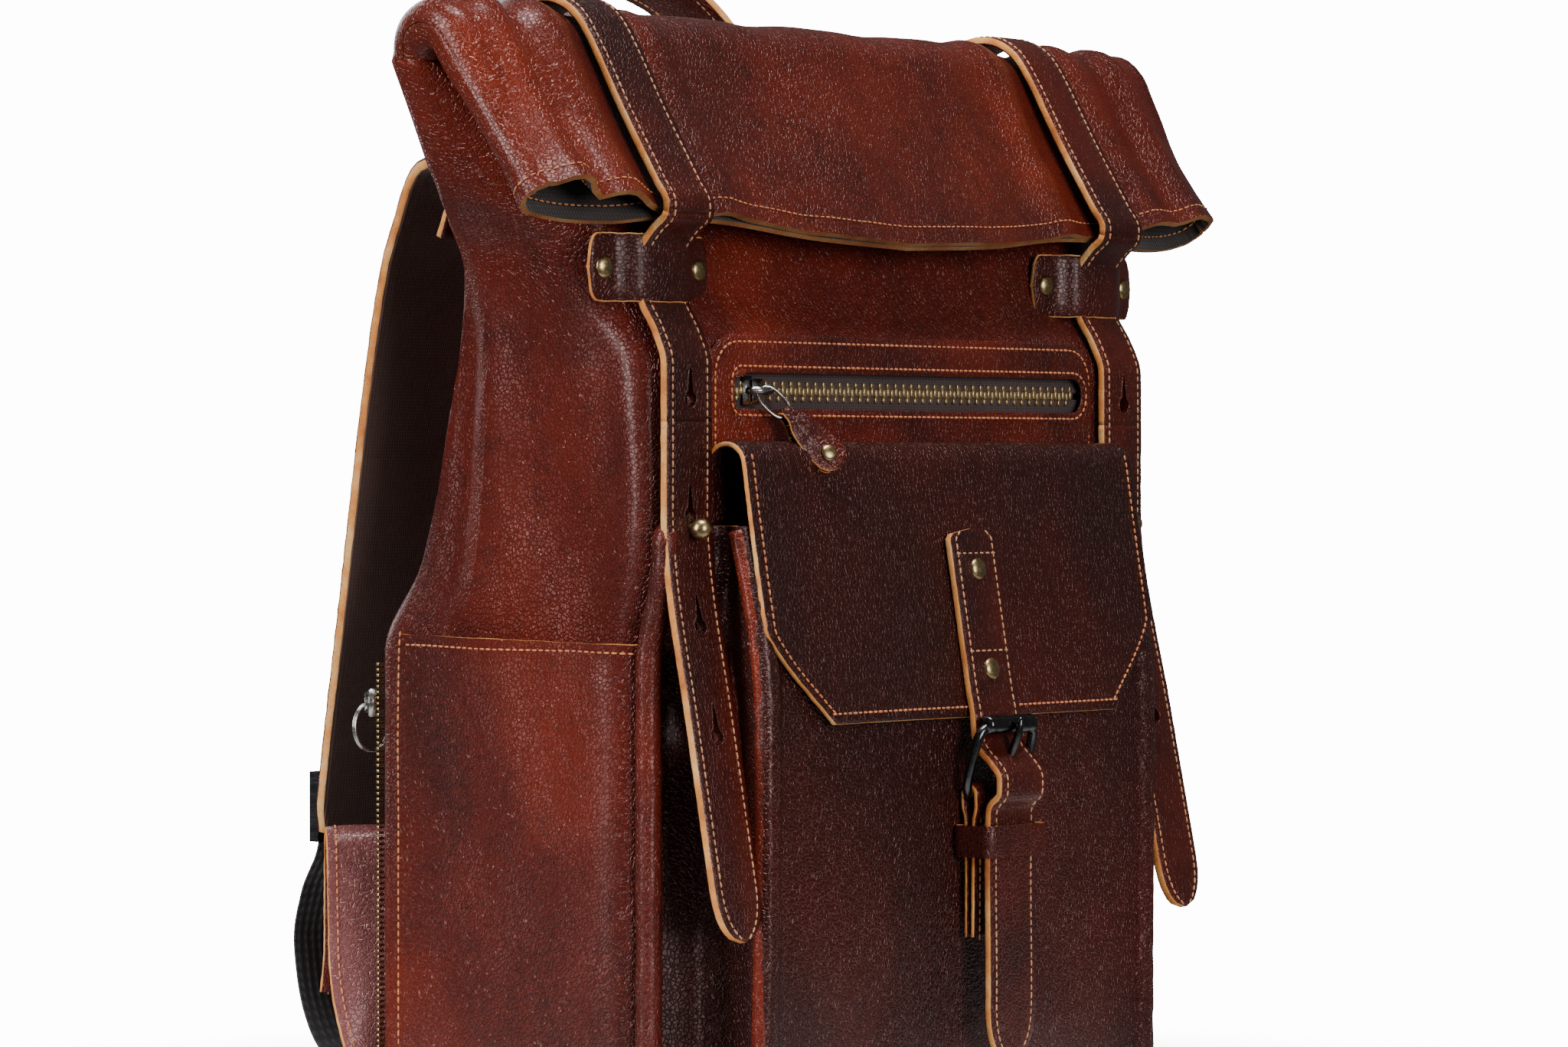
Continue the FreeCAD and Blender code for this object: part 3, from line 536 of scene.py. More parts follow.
def band(name, line, half, thick, materials, side=(1, 0, 0), seam=3.2, crown=0.25, columns=12, rag=0.25,
         cells=slice(None)):
    """A strap along a line. half is half its width, one number or one for each point of the line; seam is how
    far the stitch channels lie from the edge. Materials are front, edge and back. cells picks a stretch of
    the line, so that two pieces of one strap meet exactly."""
    tangent, across, out = (part[cells] for part in frame_along(line, side))
    half = np.broadcast_to(np.asarray(half, float), (len(line),))[cells]
    line = line[cells]
    steps = np.linspace(-1, 1, columns + 1) if np.isscalar(columns) else np.array(columns)
    columns = len(steps) - 1
    front_face, back_face = [(s, 1.0) for s in steps], [(s, -1.0) for s in steps[::-1]]
    right_edge, left_edge = [(1.0, 0.45), (1.0, -0.45)], [(-1.0, -0.45), (-1.0, 0.45)]
    section = front_face + right_edge + back_face + left_edge
    count = len(section)
    points = np.zeros((len(line), count, 3))
    for i, (s, level) in enumerate(section):
        reach = s * half
        edge = abs(level) < 0.9
        rise = np.full(len(line), level * thick / 2)
        if not edge:
            gap = half * (1 - abs(s))
            channel = 0.35 * hill(gap, seam, 1.1) * (half > seam)
            way, rim_dip = np.sign(level), 0.45 * hill(gap, 0, 0.9)
            rise = rise - way * (channel + rim_dip) + way * crown * (1 - s * s)
        else:
            reach = reach + np.sign(s) * 0.45
        points[:, i] = line + across * reach[:, None] + out * rise[:, None]
    edge_columns = [i for i, (s, level) in enumerate(section) if abs(s) > 0.999]
    shake = wander(points[:, edge_columns], 3.5, 5) * rag
    points[:, edge_columns] += across[:, None] * shake[..., None]
    faces, kinds = [], []
    for r in range(len(line) - 1):
        for c in range(count):
            a, b = r * count + c, r * count + (c + 1) % count
            faces.append((a, a + count, b + count, b))
            sides = c >= columns and (c < columns + 3 or c >= 2 * columns + 4)
            kinds.append(1 if sides else (0 if c < columns else 2))
    last = (len(line) - 1) * count
    faces += [tuple(range(count)), tuple(last + c for c in range(count - 1, -1, -1))]
    kinds += [1, 1]
    mesh = mesh_of(name, points, faces)
    mesh.polygons.foreach_set("material_index", kinds)
    mesh.polygons.foreach_set("use_smooth", [True] * (len(faces) - 2) + [False, False])
    tidy_normals(mesh)
    return new_object(name, mesh, *materials)


def tidy_normals(mesh):
    """Turns every face of a closed mesh outwards."""
    work = bmesh.new()
    work.from_mesh(mesh)
    bmesh.ops.recalc_face_normals(work, faces=work.faces)
    work.to_mesh(mesh)
    work.free()


def rows_beside(line, half, thick, inset=3.2, side=(1, 0, 0), lift=0.28, first=0, last=None,
                both_faces=False):
    """The two stitch lines of a strap, inset from its edges, on its outer face."""
    tangent, across, out = frame_along(line, side)
    half = np.broadcast_to(np.asarray(half, float), (len(line),))
    wide = np.flatnonzero(half > inset + 0.4)
    keep = wide[(wide >= first) & (wide < (len(line) if last is None else last))]
    rows = []
    for level in ((1, -1) if both_faces else (1,)):
        for s in (-1, 1):
            offset = across[keep] * (s * (half[keep] - inset))[:, None]
            rows.append(line[keep] + offset + out[keep] * (level * (thick / 2 - 0.35 + lift)))
    return rows


def pointed(line, half, reach):
    """Half widths of a strap whose last stretch narrows to a rounded point."""
    gaps = along_line(line)
    left = np.clip((gaps[-1] - gaps) / reach, 0, 1)
    return half * np.maximum(1 - (1 - left) ** 2.4, 0.0) ** 0.5 + 0.05


def wire(name, line, radius, material, closed=False, sides=10):
    """Round wire or tube along a line; radius is one number or one for each point."""
    line = np.array(line, float)
    radius = np.broadcast_to(np.asarray(radius, float), (len(line),))
    if closed:
        tangent = unit(np.roll(line, -1, axis=0) - np.roll(line, 1, axis=0))
    else:
        tangent = unit(np.gradient(line, axis=0))
    start = np.array((0, 0, 1.0)) if abs(tangent[0, 2]) < 0.9 else np.array((1.0, 0, 0))
    normals = []
    current = start
    for t in tangent:
        current = current - t * np.dot(current, t)
        current = current / np.linalg.norm(current)
        normals.append(current)
    normals = np.array(normals)
    binormals = np.cross(tangent, normals)
    turn = np.linspace(0, 2 * math.pi, sides, endpoint=False)
    ring = np.cos(turn)[None, :, None] * normals[:, None] + np.sin(turn)[None, :, None] * binormals[:, None]
    points = line[:, None] + ring * radius[:, None, None]
    faces = []
    for r in range(len(line) if closed else len(line) - 1):
        n = (r + 1) % len(line)
        for c in range(sides):
            d = (c + 1) % sides
            faces.append((r * sides + c, n * sides + c, n * sides + d, r * sides + d))
    if not closed:
        faces += [tuple(range(sides)), tuple((len(line) - 1) * sides + c for c in range(sides - 1, -1, -1))]
    mesh = mesh_of(name, points, faces)
    mesh.shade_smooth()
    tidy_normals(mesh)
    return new_object(name, mesh, material)


def settle(thing, body, slot, *nodes):
    """Puts a finished piece on its body and hides what it stands for. slot is not used."""
    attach(thing, body)
    if nodes:
        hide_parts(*nodes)
    return thing


def stitch(name, rows, colour, body, **look):
    """Sews rows of stitches and puts them on a body."""
    return settle(sew(name, rows, colour, **look), body, "thread_" + colour)


def bend(thing, bodies, start, end, slot, *nodes):
    """Bakes a piece into world space and hides what it stands for; it puts the piece on no body and does not
    bend it. bodies, start, end and slot are not used.
    """
    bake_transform(thing)
    if nodes:
        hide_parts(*nodes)
    return thing


def lined(part):
    """Outer face, inner face and cut edge of a sheet with cloth inside."""
    return FINISH[f"leather_{part}"], FINISH["lining_fabric"], FINISH["leather_edge"]


def unlined(part):
    """Outer face, inner face and cut edge of a bare sheet of hide."""
    return FINISH[f"leather_{part}"], FINISH[f"leather_{part}"], FINISH["leather_edge"]


SIDES = (("left", -1), ("right", 1))
STRAP_HIDE, FLAP_HIDE = [(FINISH[f"leather_{part}"], FINISH["leather_edge"], FINISH[f"leather_{part}"])
                         for part in ("strap", "flap")]
print("band(), wire() and their stitch lines are ready")

# %% [markdown]
# Stitches, zip teeth and rivets repeat along a line or sit at set places, so Geometry Nodes put them there.
# The first tree sets a small capsule of thread at every pitch along a line. The second sets copies of any
# part along a line, such as zip teeth. The third sets a part at single points, turned to face along a
# stored direction, such as rivets. Each tree ends by making its copies real.

# %% Node trees
def new_tree(name, **sockets):
    """An empty tree with a geometry socket at each end and named inputs, and its two ends."""
    tree = bpy.data.node_groups.new(name, "GeometryNodeTree")
    tree.interface.new_socket("Geometry", in_out="INPUT", socket_type="NodeSocketGeometry")
    tree.interface.new_socket("Geometry", in_out="OUTPUT", socket_type="NodeSocketGeometry")
    for key, kind in sockets.items():
        tree.interface.new_socket(key, in_out="INPUT", socket_type="NodeSocket" + kind)
    return tree, tree.nodes.new("NodeGroupInput").outputs, tree.nodes.new("NodeGroupOutput").inputs


def chain(tree, kind, mode=None, **inputs):
    """Adds a node and joins sockets to its inputs by name."""
    made = tree.nodes.new(kind)
    for key, value in (mode or {}).items():
        setattr(made, key, value)
    for key, value in inputs.items():
        socket = made.inputs[key.replace("_", " ")]
        if isinstance(value, bpy.types.NodeSocket):
            tree.links.new(value, socket)
        else:
            socket.default_value = value
    return made.outputs


def ending(tree, out, instances, material):
    real = chain(tree, "GeometryNodeRealizeInstances", Geometry=instances)["Geometry"]
    smooth = chain(tree, "GeometryNodeSetShadeSmooth", Geometry=real)["Geometry"]
    done = chain(tree, "GeometryNodeSetMaterial", Geometry=smooth, Material=material)["Geometry"]
    tree.links.new(done, out["Geometry"])


def even_places(tree, given):
    """Points at an even pitch along lines, and the rotation that lays Z along the line at each."""
    curve = chain(tree, "GeometryNodeMeshToCurve", Mesh=given["Geometry"])["Curve"]
    even = chain(tree, "GeometryNodeResampleCurve", {"mode": "LENGTH"}, Curve=curve,
                 Length=given["Pitch"])["Curve"]
    way = chain(tree, "GeometryNodeInputTangent")["Tangent"]
    return even, chain(tree, "FunctionNodeAlignRotationToVector", {"axis": "Z"}, Vector=way)["Rotation"]


def along_tree():
    """Copies of a part at an even pitch along lines, each with its Z along the line."""
    tree, given, out = new_tree("parts_along_line", Pitch="Float", Part="Object", Finish="Material")
    even, turn = even_places(tree, given)
    part = chain(tree, "GeometryNodeObjectInfo", Object=given["Part"])["Geometry"]
    copies = chain(tree, "GeometryNodeInstanceOnPoints", Points=even, Instance=part,
                   Rotation=turn)["Instances"]
    ending(tree, out, copies, given["Finish"])
    return tree


def stitch_tree():
    """A capsule of thread at every pitch along lines; its size wanders a little from stitch to stitch."""
    tree, given, out = new_tree("sewn_rows", Pitch="Float", Length="Float", Thread="Float", Finish="Material")
    even, turn = even_places(tree, given)
    ball = chain(tree, "GeometryNodeMeshUVSphere", Segments=6, Rings=4, Radius=1.0)["Mesh"]
    half = chain(tree, "ShaderNodeMath", {"operation": "MULTIPLY"}, Value=given["Length"])
    size = chain(tree, "ShaderNodeCombineXYZ", X=given["Thread"], Y=given["Thread"],
                 Z=half["Value"])["Vector"]
    vary = chain(tree, "FunctionNodeRandomValue", {"data_type": "FLOAT"}, Seed=11)
    node = vary["Value"].node
    node.inputs[2].default_value, node.inputs[3].default_value = 0.88, 1.12
    scaled = chain(tree, "GeometryNodeTransform", Geometry=ball, Scale=size)["Geometry"]
    floats = [o for o in node.outputs if o.enabled]
    copies = chain(tree, "GeometryNodeInstanceOnPoints", Points=even, Instance=scaled, Rotation=turn,
                   Scale=floats[0])["Instances"]
    ending(tree, out, copies, given["Finish"])
    return tree


def set_in_tree():
    """A copy of a part at each point, its Z turned to the point's stored facing direction."""
    tree, given, out = new_tree("parts_set_in", Part="Object", Finish="Material")
    named = chain(tree, "GeometryNodeInputNamedAttribute", {"data_type": "FLOAT_VECTOR"}, Name="facing")
    way = [o for o in named if o.enabled][0]
    turn = chain(tree, "FunctionNodeAlignRotationToVector", {"axis": "Z"}, Vector=way)["Rotation"]
    part = chain(tree, "GeometryNodeObjectInfo", Object=given["Part"])["Geometry"]
    points = chain(tree, "GeometryNodeMeshToPoints", Mesh=given["Geometry"])["Points"]
    copies = chain(tree, "GeometryNodeInstanceOnPoints", Points=points, Instance=part,
                   Rotation=turn)["Instances"]
    ending(tree, out, copies, given["Finish"])
    return tree


TREES = {"along": along_tree(), "sewn": stitch_tree(), "set_in": set_in_tree()}


def result_of(thing):
    """The mesh that an object's modifiers make."""
    graph = bpy.context.evaluated_depsgraph_get()
    return bpy.data.meshes.new_from_object(thing.evaluated_get(graph), depsgraph=graph)


def grow(name, base, tree, **inputs):
    """Runs a tree on a base mesh and returns its result as a plain mesh object."""
    carrier = new_object(name + "_base", base)
    modifier = carrier.modifiers.new("grow", "NODES")
    modifier.node_group = tree
    names = {item.name: item.identifier for item in tree.interface.items_tree if item.in_out == "INPUT"}
    for key, value in inputs.items():
        modifier[names[key]] = value
    mesh = result_of(carrier)
    mesh.name = name
    bpy.data.objects.remove(carrier)
    return new_object(name, mesh)


def lines_mesh(lines):
    """A mesh of bare edges from lines of points in millimetres."""
    points, edges = [], []
    for line in lines:
        first = len(points)
        points += [tuple(p) for p in np.asarray(line) * MM]
        edges += [(i, i + 1) for i in range(first, len(points) - 1)]
    mesh = bpy.data.meshes.new("lines")
    mesh.from_pydata(points, edges, [])
    return mesh


def sew(name, lines, colour="light", pitch=3.3, length=2.7, thick=0.44):
    """Stitches along lines, as one plain mesh."""
    return grow(name, lines_mesh(lines), TREES["sewn"], Pitch=pitch * MM, Length=length * MM,
                Thread=thick * MM, Finish=FINISH["thread_" + colour])


def set_in(name, spots, part, finish):
    """Copies of a part at (point, facing) places."""
    mesh = bpy.data.meshes.new("spots")
    mesh.from_pydata([tuple(np.array(point) * MM) for point, way in spots], [], [])
    mesh.attributes.new("facing", "FLOAT_VECTOR", "POINT").data.foreach_set(
        "vector", np.array([way for point, way in spots], float).ravel())
    return grow(name, mesh, TREES["set_in"], Part=part, Finish=finish)


def turned(name, profile, sides=20):
    """A hidden pattern part, turned on a lathe from (radius, height) pairs in millimetres."""
    points, faces = [], []
    for radius, height in profile:
        for k in range(sides):
            angle = 2 * math.pi * k / sides
            points.append((radius * math.cos(angle), radius * math.sin(angle), height))
    for r in range(len(profile) - 1):
        for c in range(sides):
            d = (c + 1) % sides
            faces.append((r * sides + c, r * sides + d, (r + 1) * sides + d, (r + 1) * sides + c))
    faces += [tuple(range(sides - 1, -1, -1)), tuple((len(profile) - 1) * sides + c for c in range(sides))]
    mesh = mesh_of(name, points, faces)
    tidy_normals(mesh)
    PATTERNS.append(new_object(name, mesh))
    return PATTERNS[-1]


PATTERNS = []
print("trees:", ", ".join(TREES))

# %% [markdown]
# The bag itself is one tube of leather. It starts as a box with rounded corners, flattens towards the neck
# while it widens, folds over to the front and ends at the hem. So every part of it is the same ring of
# points, carried along a path: up the body, round the fold, down the mouth. One grid holds them all, and
# the pieces are cut out of that grid afterwards, where the bag's joints need them.

# %% Sizes read from the frame
BASE_HIGH = span("base_panel")[1]
MOUTH_HIGH = span("mouth_outer_wall")[1]
POCKET_LOW, POCKET_HIGH = span("pocket_front")
STRAP_LOW, STRAP_HIGH = span("left_strap_leg")
FACING_LOW, FACING_HIGH = span("zip_facing")
HALF_WIDTH = BASE_HIGH[0]
HALF_DEPTH = BASE_HIGH[1]
MOUTH_HALF = MOUTH_HIGH[0]
NECK_TOP = MOUTH_HIGH[2]
STRAP_X = -(STRAP_LOW[0] + STRAP_HIGH[0]) / 2
STRAP_HALF = (STRAP_HIGH[0] - STRAP_LOW[0]) / 2
BULGE_Y = FACING_HIGH[1] - 0.1
print("body", round(2 * HALF_WIDTH), "x", round(2 * HALF_DEPTH), "mm, mouth", round(2 * MOUTH_HALF), "mm")

# %% Path and section of the tube
FRONT_MARKS = [0, 200, 250, 322, 352, 385, NECK_TOP]
FRONT_DEPTHS = [-HALF_DEPTH, -HALF_DEPTH, BULGE_Y, BULGE_Y, -68, -60, -20]
BACK_MARKS = [0, 200, 290, 360, NECK_TOP]
BACK_DEPTHS = [HALF_DEPTH, HALF_DEPTH, 58, 36, 3]
WIDTH_MARKS = [0, 240, 322, 362, 385, 410, NECK_TOP]
WIDTHS = [HALF_WIDTH, HALF_WIDTH, HALF_WIDTH + 5, HALF_WIDTH + 14, HALF_WIDTH + 31, HALF_WIDTH + 47,
          MOUTH_HALF - 3]
FOLD_Y, FOLD_RADIUS = -23.5, 14.0
FOLD_TURN = math.radians(146)
FOLD_LENGTH = FOLD_RADIUS * FOLD_TURN
MOUTH_LENGTH = 80.0
TUBE_LENGTH = NECK_TOP + FOLD_LENGTH + MOUTH_LENGTH
FRONT_STEPS, SIDE_STEPS, CORNER_STEPS = 78, 22, 6
LEATHER = 2.3


def spine(s):
    """Centre (y, z), outward direction, half depth, half width and corner radius at length s of the tube."""
    if s <= NECK_TOP:
        front, back = float(glide(s, FRONT_MARKS, FRONT_DEPTHS)), float(glide(s, BACK_MARKS, BACK_DEPTHS))
        depth = (back - front) / 2
        corner = min(float(glide(s, [0, 240, 330, 365, 400], [15, 16, 19, 26, 36])), depth * 0.86)
        return ((front + back) / 2, s), (1.0, 0.0), depth, float(glide(s, WIDTH_MARKS, WIDTHS)), corner
    turn = min((s - NECK_TOP) / FOLD_RADIUS, FOLD_TURN)
    way = (math.cos(turn), math.sin(turn))
    run = max(0.0, s - NECK_TOP - FOLD_LENGTH)
    centre = (FOLD_Y + FOLD_RADIUS * way[0] - run * math.sin(turn),
              NECK_TOP + FOLD_RADIUS * way[1] + run * math.cos(turn))
    depth = float(glide(s, [NECK_TOP, NECK_TOP + FOLD_LENGTH, TUBE_LENGTH - 45, TUBE_LENGTH],
                        [11.5, 10.5, 9.0, 11.0]))
    width = float(glide(s, [NECK_TOP, NECK_TOP + 15, TUBE_LENGTH - 50, TUBE_LENGTH],
                        [MOUTH_HALF - 3, MOUTH_HALF + 2, MOUTH_HALF - 2, MOUTH_HALF]))
    return centre, way, depth, width, depth * 0.86


def section_ring(width, depth, corner):
    """A rounded rectangle: distances across and outwards, and the direction each point faces."""
    spots, faces = [], []
    quarter = [math.radians(90 * k / CORNER_STEPS) for k in range(CORNER_STEPS)]
    for k in range(FRONT_STEPS):
        spots.append((-(width - corner) + 2 * (width - corner) * k / FRONT_STEPS, -depth))
        faces.append((0, -1))
    for a in quarter:
        spots.append((width - corner + corner * math.sin(a), -depth + corner - corner * math.cos(a)))
        faces.append((math.sin(a), -math.cos(a)))
    for k in range(SIDE_STEPS):
        spots.append((width, -(depth - corner) + 2 * (depth - corner) * k / SIDE_STEPS))
        faces.append((1, 0))
    for a in quarter:
        spots.append((width - corner + corner * math.cos(a), depth - corner + corner * math.sin(a)))
        faces.append((math.cos(a), math.sin(a)))
    spots, faces = np.array(spots), np.array(faces, float)
    return np.concatenate((spots, -spots)), np.concatenate((faces, -faces))


def mouth_share(s):
    """0 up to the fold, 1 at the hem."""
    return min(1.0, max(0.0, (s - NECK_TOP - FOLD_LENGTH) / MOUTH_LENGTH))


def strap_grooves(x):
    """How far the tube is pressed together under the long straps and puffs up beside them."""
    return hill(np.abs(x), STRAP_X, STRAP_HALF + 4)


def tube_ring(s):
    """One ring of the tube in space, and its facing directions."""
    (y, z), way, depth, width, corner = spine(s)
    spots, faces = section_ring(width, depth, corner)
    share = mouth_share(s)
    x = spots[:, 0]
    folded = float(glide(s, [NECK_TOP - 30, NECK_TOP + 12, TUBE_LENGTH], [0, 1, 1]))
    open_hem = glide(np.abs(x), [0, 105, STRAP_X, 172, 200, MOUTH_HALF], [0.22, 0.20, 0.30, 0.95, 1.2, 1.0])
    press = 1 - 0.16 * folded * strap_grooves(x)
    out = spots[:, 1] * (press * (1 - share) + open_hem * share)
    drop = share ** 1.5 * glide(np.abs(x), [0, 60, 110, STRAP_X, 175, MOUTH_HALF], [12, 9, 3.5, 2, 0, -5])
    down = (-way[1], way[0])
    ring = np.stack((x, y + out * way[0] + drop * down[0], z + out * way[1] + drop * down[1]), axis=1)
    normals = np.stack((faces[:, 0], faces[:, 1] * way[0], faces[:, 1] * way[1]), axis=1)
    return ring, normals


FOOT = [(0, 8), (1.5, 3.5), (4.5, 0.8)]            # height and inset of the rounded foot of the body
lengths = np.concatenate((np.arange(9, NECK_TOP - 20, 5.2), np.arange(NECK_TOP - 20, NECK_TOP, 3.4),
                          np.linspace(NECK_TOP, NECK_TOP + FOLD_LENGTH, 17),
                          np.linspace(NECK_TOP + FOLD_LENGTH, TUBE_LENGTH, 26)[1:]))
rings, facings = zip(*[tube_ring(s) for s in lengths])
foot_ring, foot_facing = tube_ring(float(lengths[0]))
feet = [foot_ring * (1, 1, 0) - foot_facing * inset + (0, 0, height) for height, inset in FOOT]
TUBE = np.array(feet + list(rings))
FACING = np.array([foot_facing] * len(FOOT) + list(facings))
LENGTHS = np.concatenate(([height for height, inset in FOOT], lengths))
print("tube of", TUBE.shape[0], "rings by", TUBE.shape[1], "points")

# %% [markdown]
# A plain tube looks like a balloon. The hide sags, creases run down from the neck, the roll puffs up beside
# each strap, and flat parts are sewn on top of it, so it stays flat below them. Each of those is one term
# added along the way the leather faces.

# %% Sag, creases and seams
height = TUBE[..., 2]
across = TUBE[..., 0]
body_rows = (LENGTHS <= NECK_TOP)[:, None]
front_facing = (FACING[..., 1] < -0.5) & body_rows
back_facing = (FACING[..., 1] > 0.5) & body_rows
side_facing = np.abs(FACING[..., 0]) > 0.6
upper = glide(LENGTHS, [0, 190, 260, 400, TUBE_LENGTH], [0.35, 0.5, 1.0, 1.25, 1.0])[:, None]

sag = 3.4 * wander(TUBE, 85, 1) * upper
down_creases = 2.8 * wander(TUBE, 42, 2, (1, 1, 3.2)) * upper * np.where(side_facing, 1.25, 0.8)
small = 0.7 * wander(TUBE, 17, 3, (1, 1, 1.8)) * upper
flat_front = front_facing & (np.abs(across) < 150)
calm = np.where(flat_front, glide(height, [0, 225, 268, 334, 352, 420], [0.5, 0.45, 0.06, 0.06, 0.5, 0.8]),
                1.0)
calm = np.where(back_facing, 0.35, calm)
calm = np.where(body_rows & side_facing & (height < 208), 0.35, calm)
lift = (sag + down_creases + small) * calm

above_neck = np.where(LENGTHS > NECK_TOP, 1, 0)[:, None]
roll = (LENGTHS > NECK_TOP - 15)[:, None] & (FACING[..., 2] * 0.7 + above_neck > 0.2)
ring_columns = np.arange(TUBE.shape[1])[None, :]
outer_start = FRONT_STEPS + 2 * CORNER_STEPS + SIDE_STEPS
outer_wall = (ring_columns >= outer_start) & (ring_columns < outer_start + FRONT_STEPS)
beside_straps = hill(np.abs(across), STRAP_X - 29, 9) + hill(np.abs(across), STRAP_X + 29, 9)
puff = 2.6 * beside_straps - 1.6 * strap_grooves(across)
left_end = 5.0 * hill(across, -205, 8) - 6.0 * hill(across, -189, 6)
ends = left_end + 2.6 * hill(across, 203, 8) - 2.0 * hill(across, 190, 6)
lift = np.where(roll & outer_wall, lift * 0.62 * (1 - 0.85 * strap_grooves(across)) + puff + ends, lift)
side_fold = glide(height, [0, 205, 250, 330, 420, 500], [0, 0, 0.8, 1.0, 0.5, 0])
fold_line = 27 - 0.12 * (height - 300)
pleat = -5.0 * hill(TUBE[..., 1], fold_line, 8) + 2.4 * hill(TUBE[..., 1], fold_line - 20, 11)
lift = lift + pleat * side_fold * body_rows * (np.abs(FACING[..., 0]) > 0.3)
back_gap = np.hypot(np.abs(across) - HALF_WIDTH, TUBE[..., 1] - glide(height, BACK_MARKS, BACK_DEPTHS))
slump = glide(height, [0, 206, 245, 300, 345, 405, 500], [0, 0, 0.85, 1.0, 0.8, 0, 0]) * body_rows
lift = lift - 15 * hill(back_gap, 0, 42) * slump
inner_wall = (LENGTHS > NECK_TOP)[:, None] & (ring_columns < FRONT_STEPS)
lift = np.where(inner_wall, lift * 0.12, lift)
neck_front = front_facing & (height > 372)
lift = np.where(neck_front, lift * 0.25, lift)
at_neck = hill(LENGTHS, NECK_TOP, 14)[:, None] * np.ones_like(lift)
lift = np.where(outer_wall & ~(np.abs(across) > 205), lift, lift * (1 - 0.6 * at_neck))

CORNER_SEAM = 6.0
corner_gap = np.abs(np.abs(across) - (HALF_WIDTH - CORNER_SEAM))
lift = lift - 2.0 * hill(corner_gap, 0, 2.6) * (front_facing & (height < 372) & (height > 12))
window = (np.abs(across - 4) < 121) & (np.abs(height - 312) < 13) & front_facing
lift = np.where(window, -8.5, lift)
TUBE = TUBE + FACING * lift[..., None]
TUBE_NORMALS = grid_normals(TUBE, closed=True)
print("deepest dent", round(float(lift.min()), 1), "mm, highest ridge", round(float(lift.max()), 1), "mm")

# %% [markdown]
# The body rides on the bag and ends where the fold begins. The fold bends as the roll opens, and its outer
# wall travels much further than its inner one, so they are two sheets. They overlap along the ends of the
# mouth, where the real bag has its side seams.

# %% Body and roll
neck_row = int(np.searchsorted(LENGTHS, NECK_TOP)) + 1
body = skin("bag_body", TUBE[:neck_row], LEATHER,
            lined("side"), closed=True,
            normals=TUBE_NORMALS[:neck_row], floor_rows=True)
settle(body, "bag", "leather_side", "front_panel", "back_panel", "left_side_panel", "right_side_panel",
       "base_panel")

roll_rows = slice(neck_row - 1, None)
ring_count = TUBE.shape[1]
side_middle = FRONT_STEPS + CORNER_STEPS + SIDE_STEPS // 2
outer_columns = np.arange(side_middle, side_middle + ring_count // 2 + 1) % ring_count
inner_columns = np.arange(side_middle + ring_count // 2 - 7, side_middle + ring_count + 8) % ring_count
hem_thick = glide(LENGTHS[roll_rows], [NECK_TOP, TUBE_LENGTH - 14, TUBE_LENGTH - 8, TUBE_LENGTH],
                  [LEATHER, LEATHER, 2.6, 2.7])
walls = (FINISH["leather_mouth"], FINISH["lining_fabric"], FINISH["hem_edge"])
outer = skin("mouth_outer_sheet", TUBE[roll_rows][:, outer_columns], hem_thick[:, None], walls,
             normals=TUBE_NORMALS[roll_rows][:, outer_columns])
tuck = glide(np.arange(len(inner_columns)),
             [0, 9, 12, len(inner_columns) - 13, len(inner_columns) - 10, len(inner_columns)],
             [1.1, 1.0, 0, 0, 1.0, 1.1])
tucked = TUBE_NORMALS[roll_rows][:, inner_columns] * tuck[None, :, None]
inner_grid = TUBE[roll_rows][:, inner_columns] - tucked
inner = skin("mouth_inner_sheet", inner_grid, hem_thick[:, None] - 0.4, walls,
             normals=TUBE_NORMALS[roll_rows][:, inner_columns])
OUTER_BEND = ((0, 3, 441), (0, -43, 441))
INNER_BEND = ((0, -20, 441), (0, -28, 441))
ROLL = ("bag", "mouth")
bend(outer, ROLL, *OUTER_BEND, "leather_mouth", "roll_fold", "mouth_outer_wall", "mouth_side_seams")
bend(inner, ROLL, *INNER_BEND, "leather_mouth", "mouth_inner_wall")
print("body of", len(body.data.polygons), "faces, roll of",
      len(outer.data.polygons) + len(inner.data.polygons))

# %% Hem stitches
hem_row = int(np.searchsorted(LENGTHS, TUBE_LENGTH - 9))
hem = np.concatenate((TUBE[hem_row], TUBE[hem_row][:1]))
hem_normal = np.concatenate((TUBE_NORMALS[hem_row], TUBE_NORMALS[hem_row][:1]))
hem_rows = [hem + hem_normal * 0.22, hem - hem_normal * 3.3]
stitch("hem_stitches", hem_rows, "orange", "mouth", pitch=3.3, length=2.5, thick=0.36)
print("hem sewn")

# %% [markdown]
# The zip sits in a window. On the real bag a facing is sewn over the slit: a thin plate with a rounded
# window, its cut edge showing all round, and two rows of stitches. The plate is a ring lofted from the
# window's outline to its own outline, so the window stays a true hole with the tape and teeth behind it.

# %% Zip facing
def rounded_box(x0, x1, z0, z1, radii, count):
    """Points round a box with rounded corners, counter-clockwise from the middle of its right side, evenly
    spread by angle; radii are for the top right, top left, bottom left and bottom right corners."""
    middle = np.array(((x0 + x1) / 2, (z0 + z1) / 2))
    corners = [(x1, z1), (x0, z1), (x0, z0), (x1, z0)]
    signs = [(1, 1), (-1, 1), (-1, -1), (1, -1)]
    points = [(x1, middle[1])]
    for (cx, cz), (sx, sz), radius, turn in zip(corners, signs, radii, range(4)):
        for k in range(9):
            angle = math.radians(90 * turn + 90 * k / 8)
            points.append((cx - sx * radius + radius * math.cos(angle),
                           cz - sz * radius + radius * math.sin(angle)))
    points = np.array(points + [points[0]])
    gaps = along_line(points)
    even = np.linspace(0, gaps[-1], count, endpoint=False)
    return np.stack([np.interp(even, gaps, points[:, k]) for k in range(2)], axis=1)


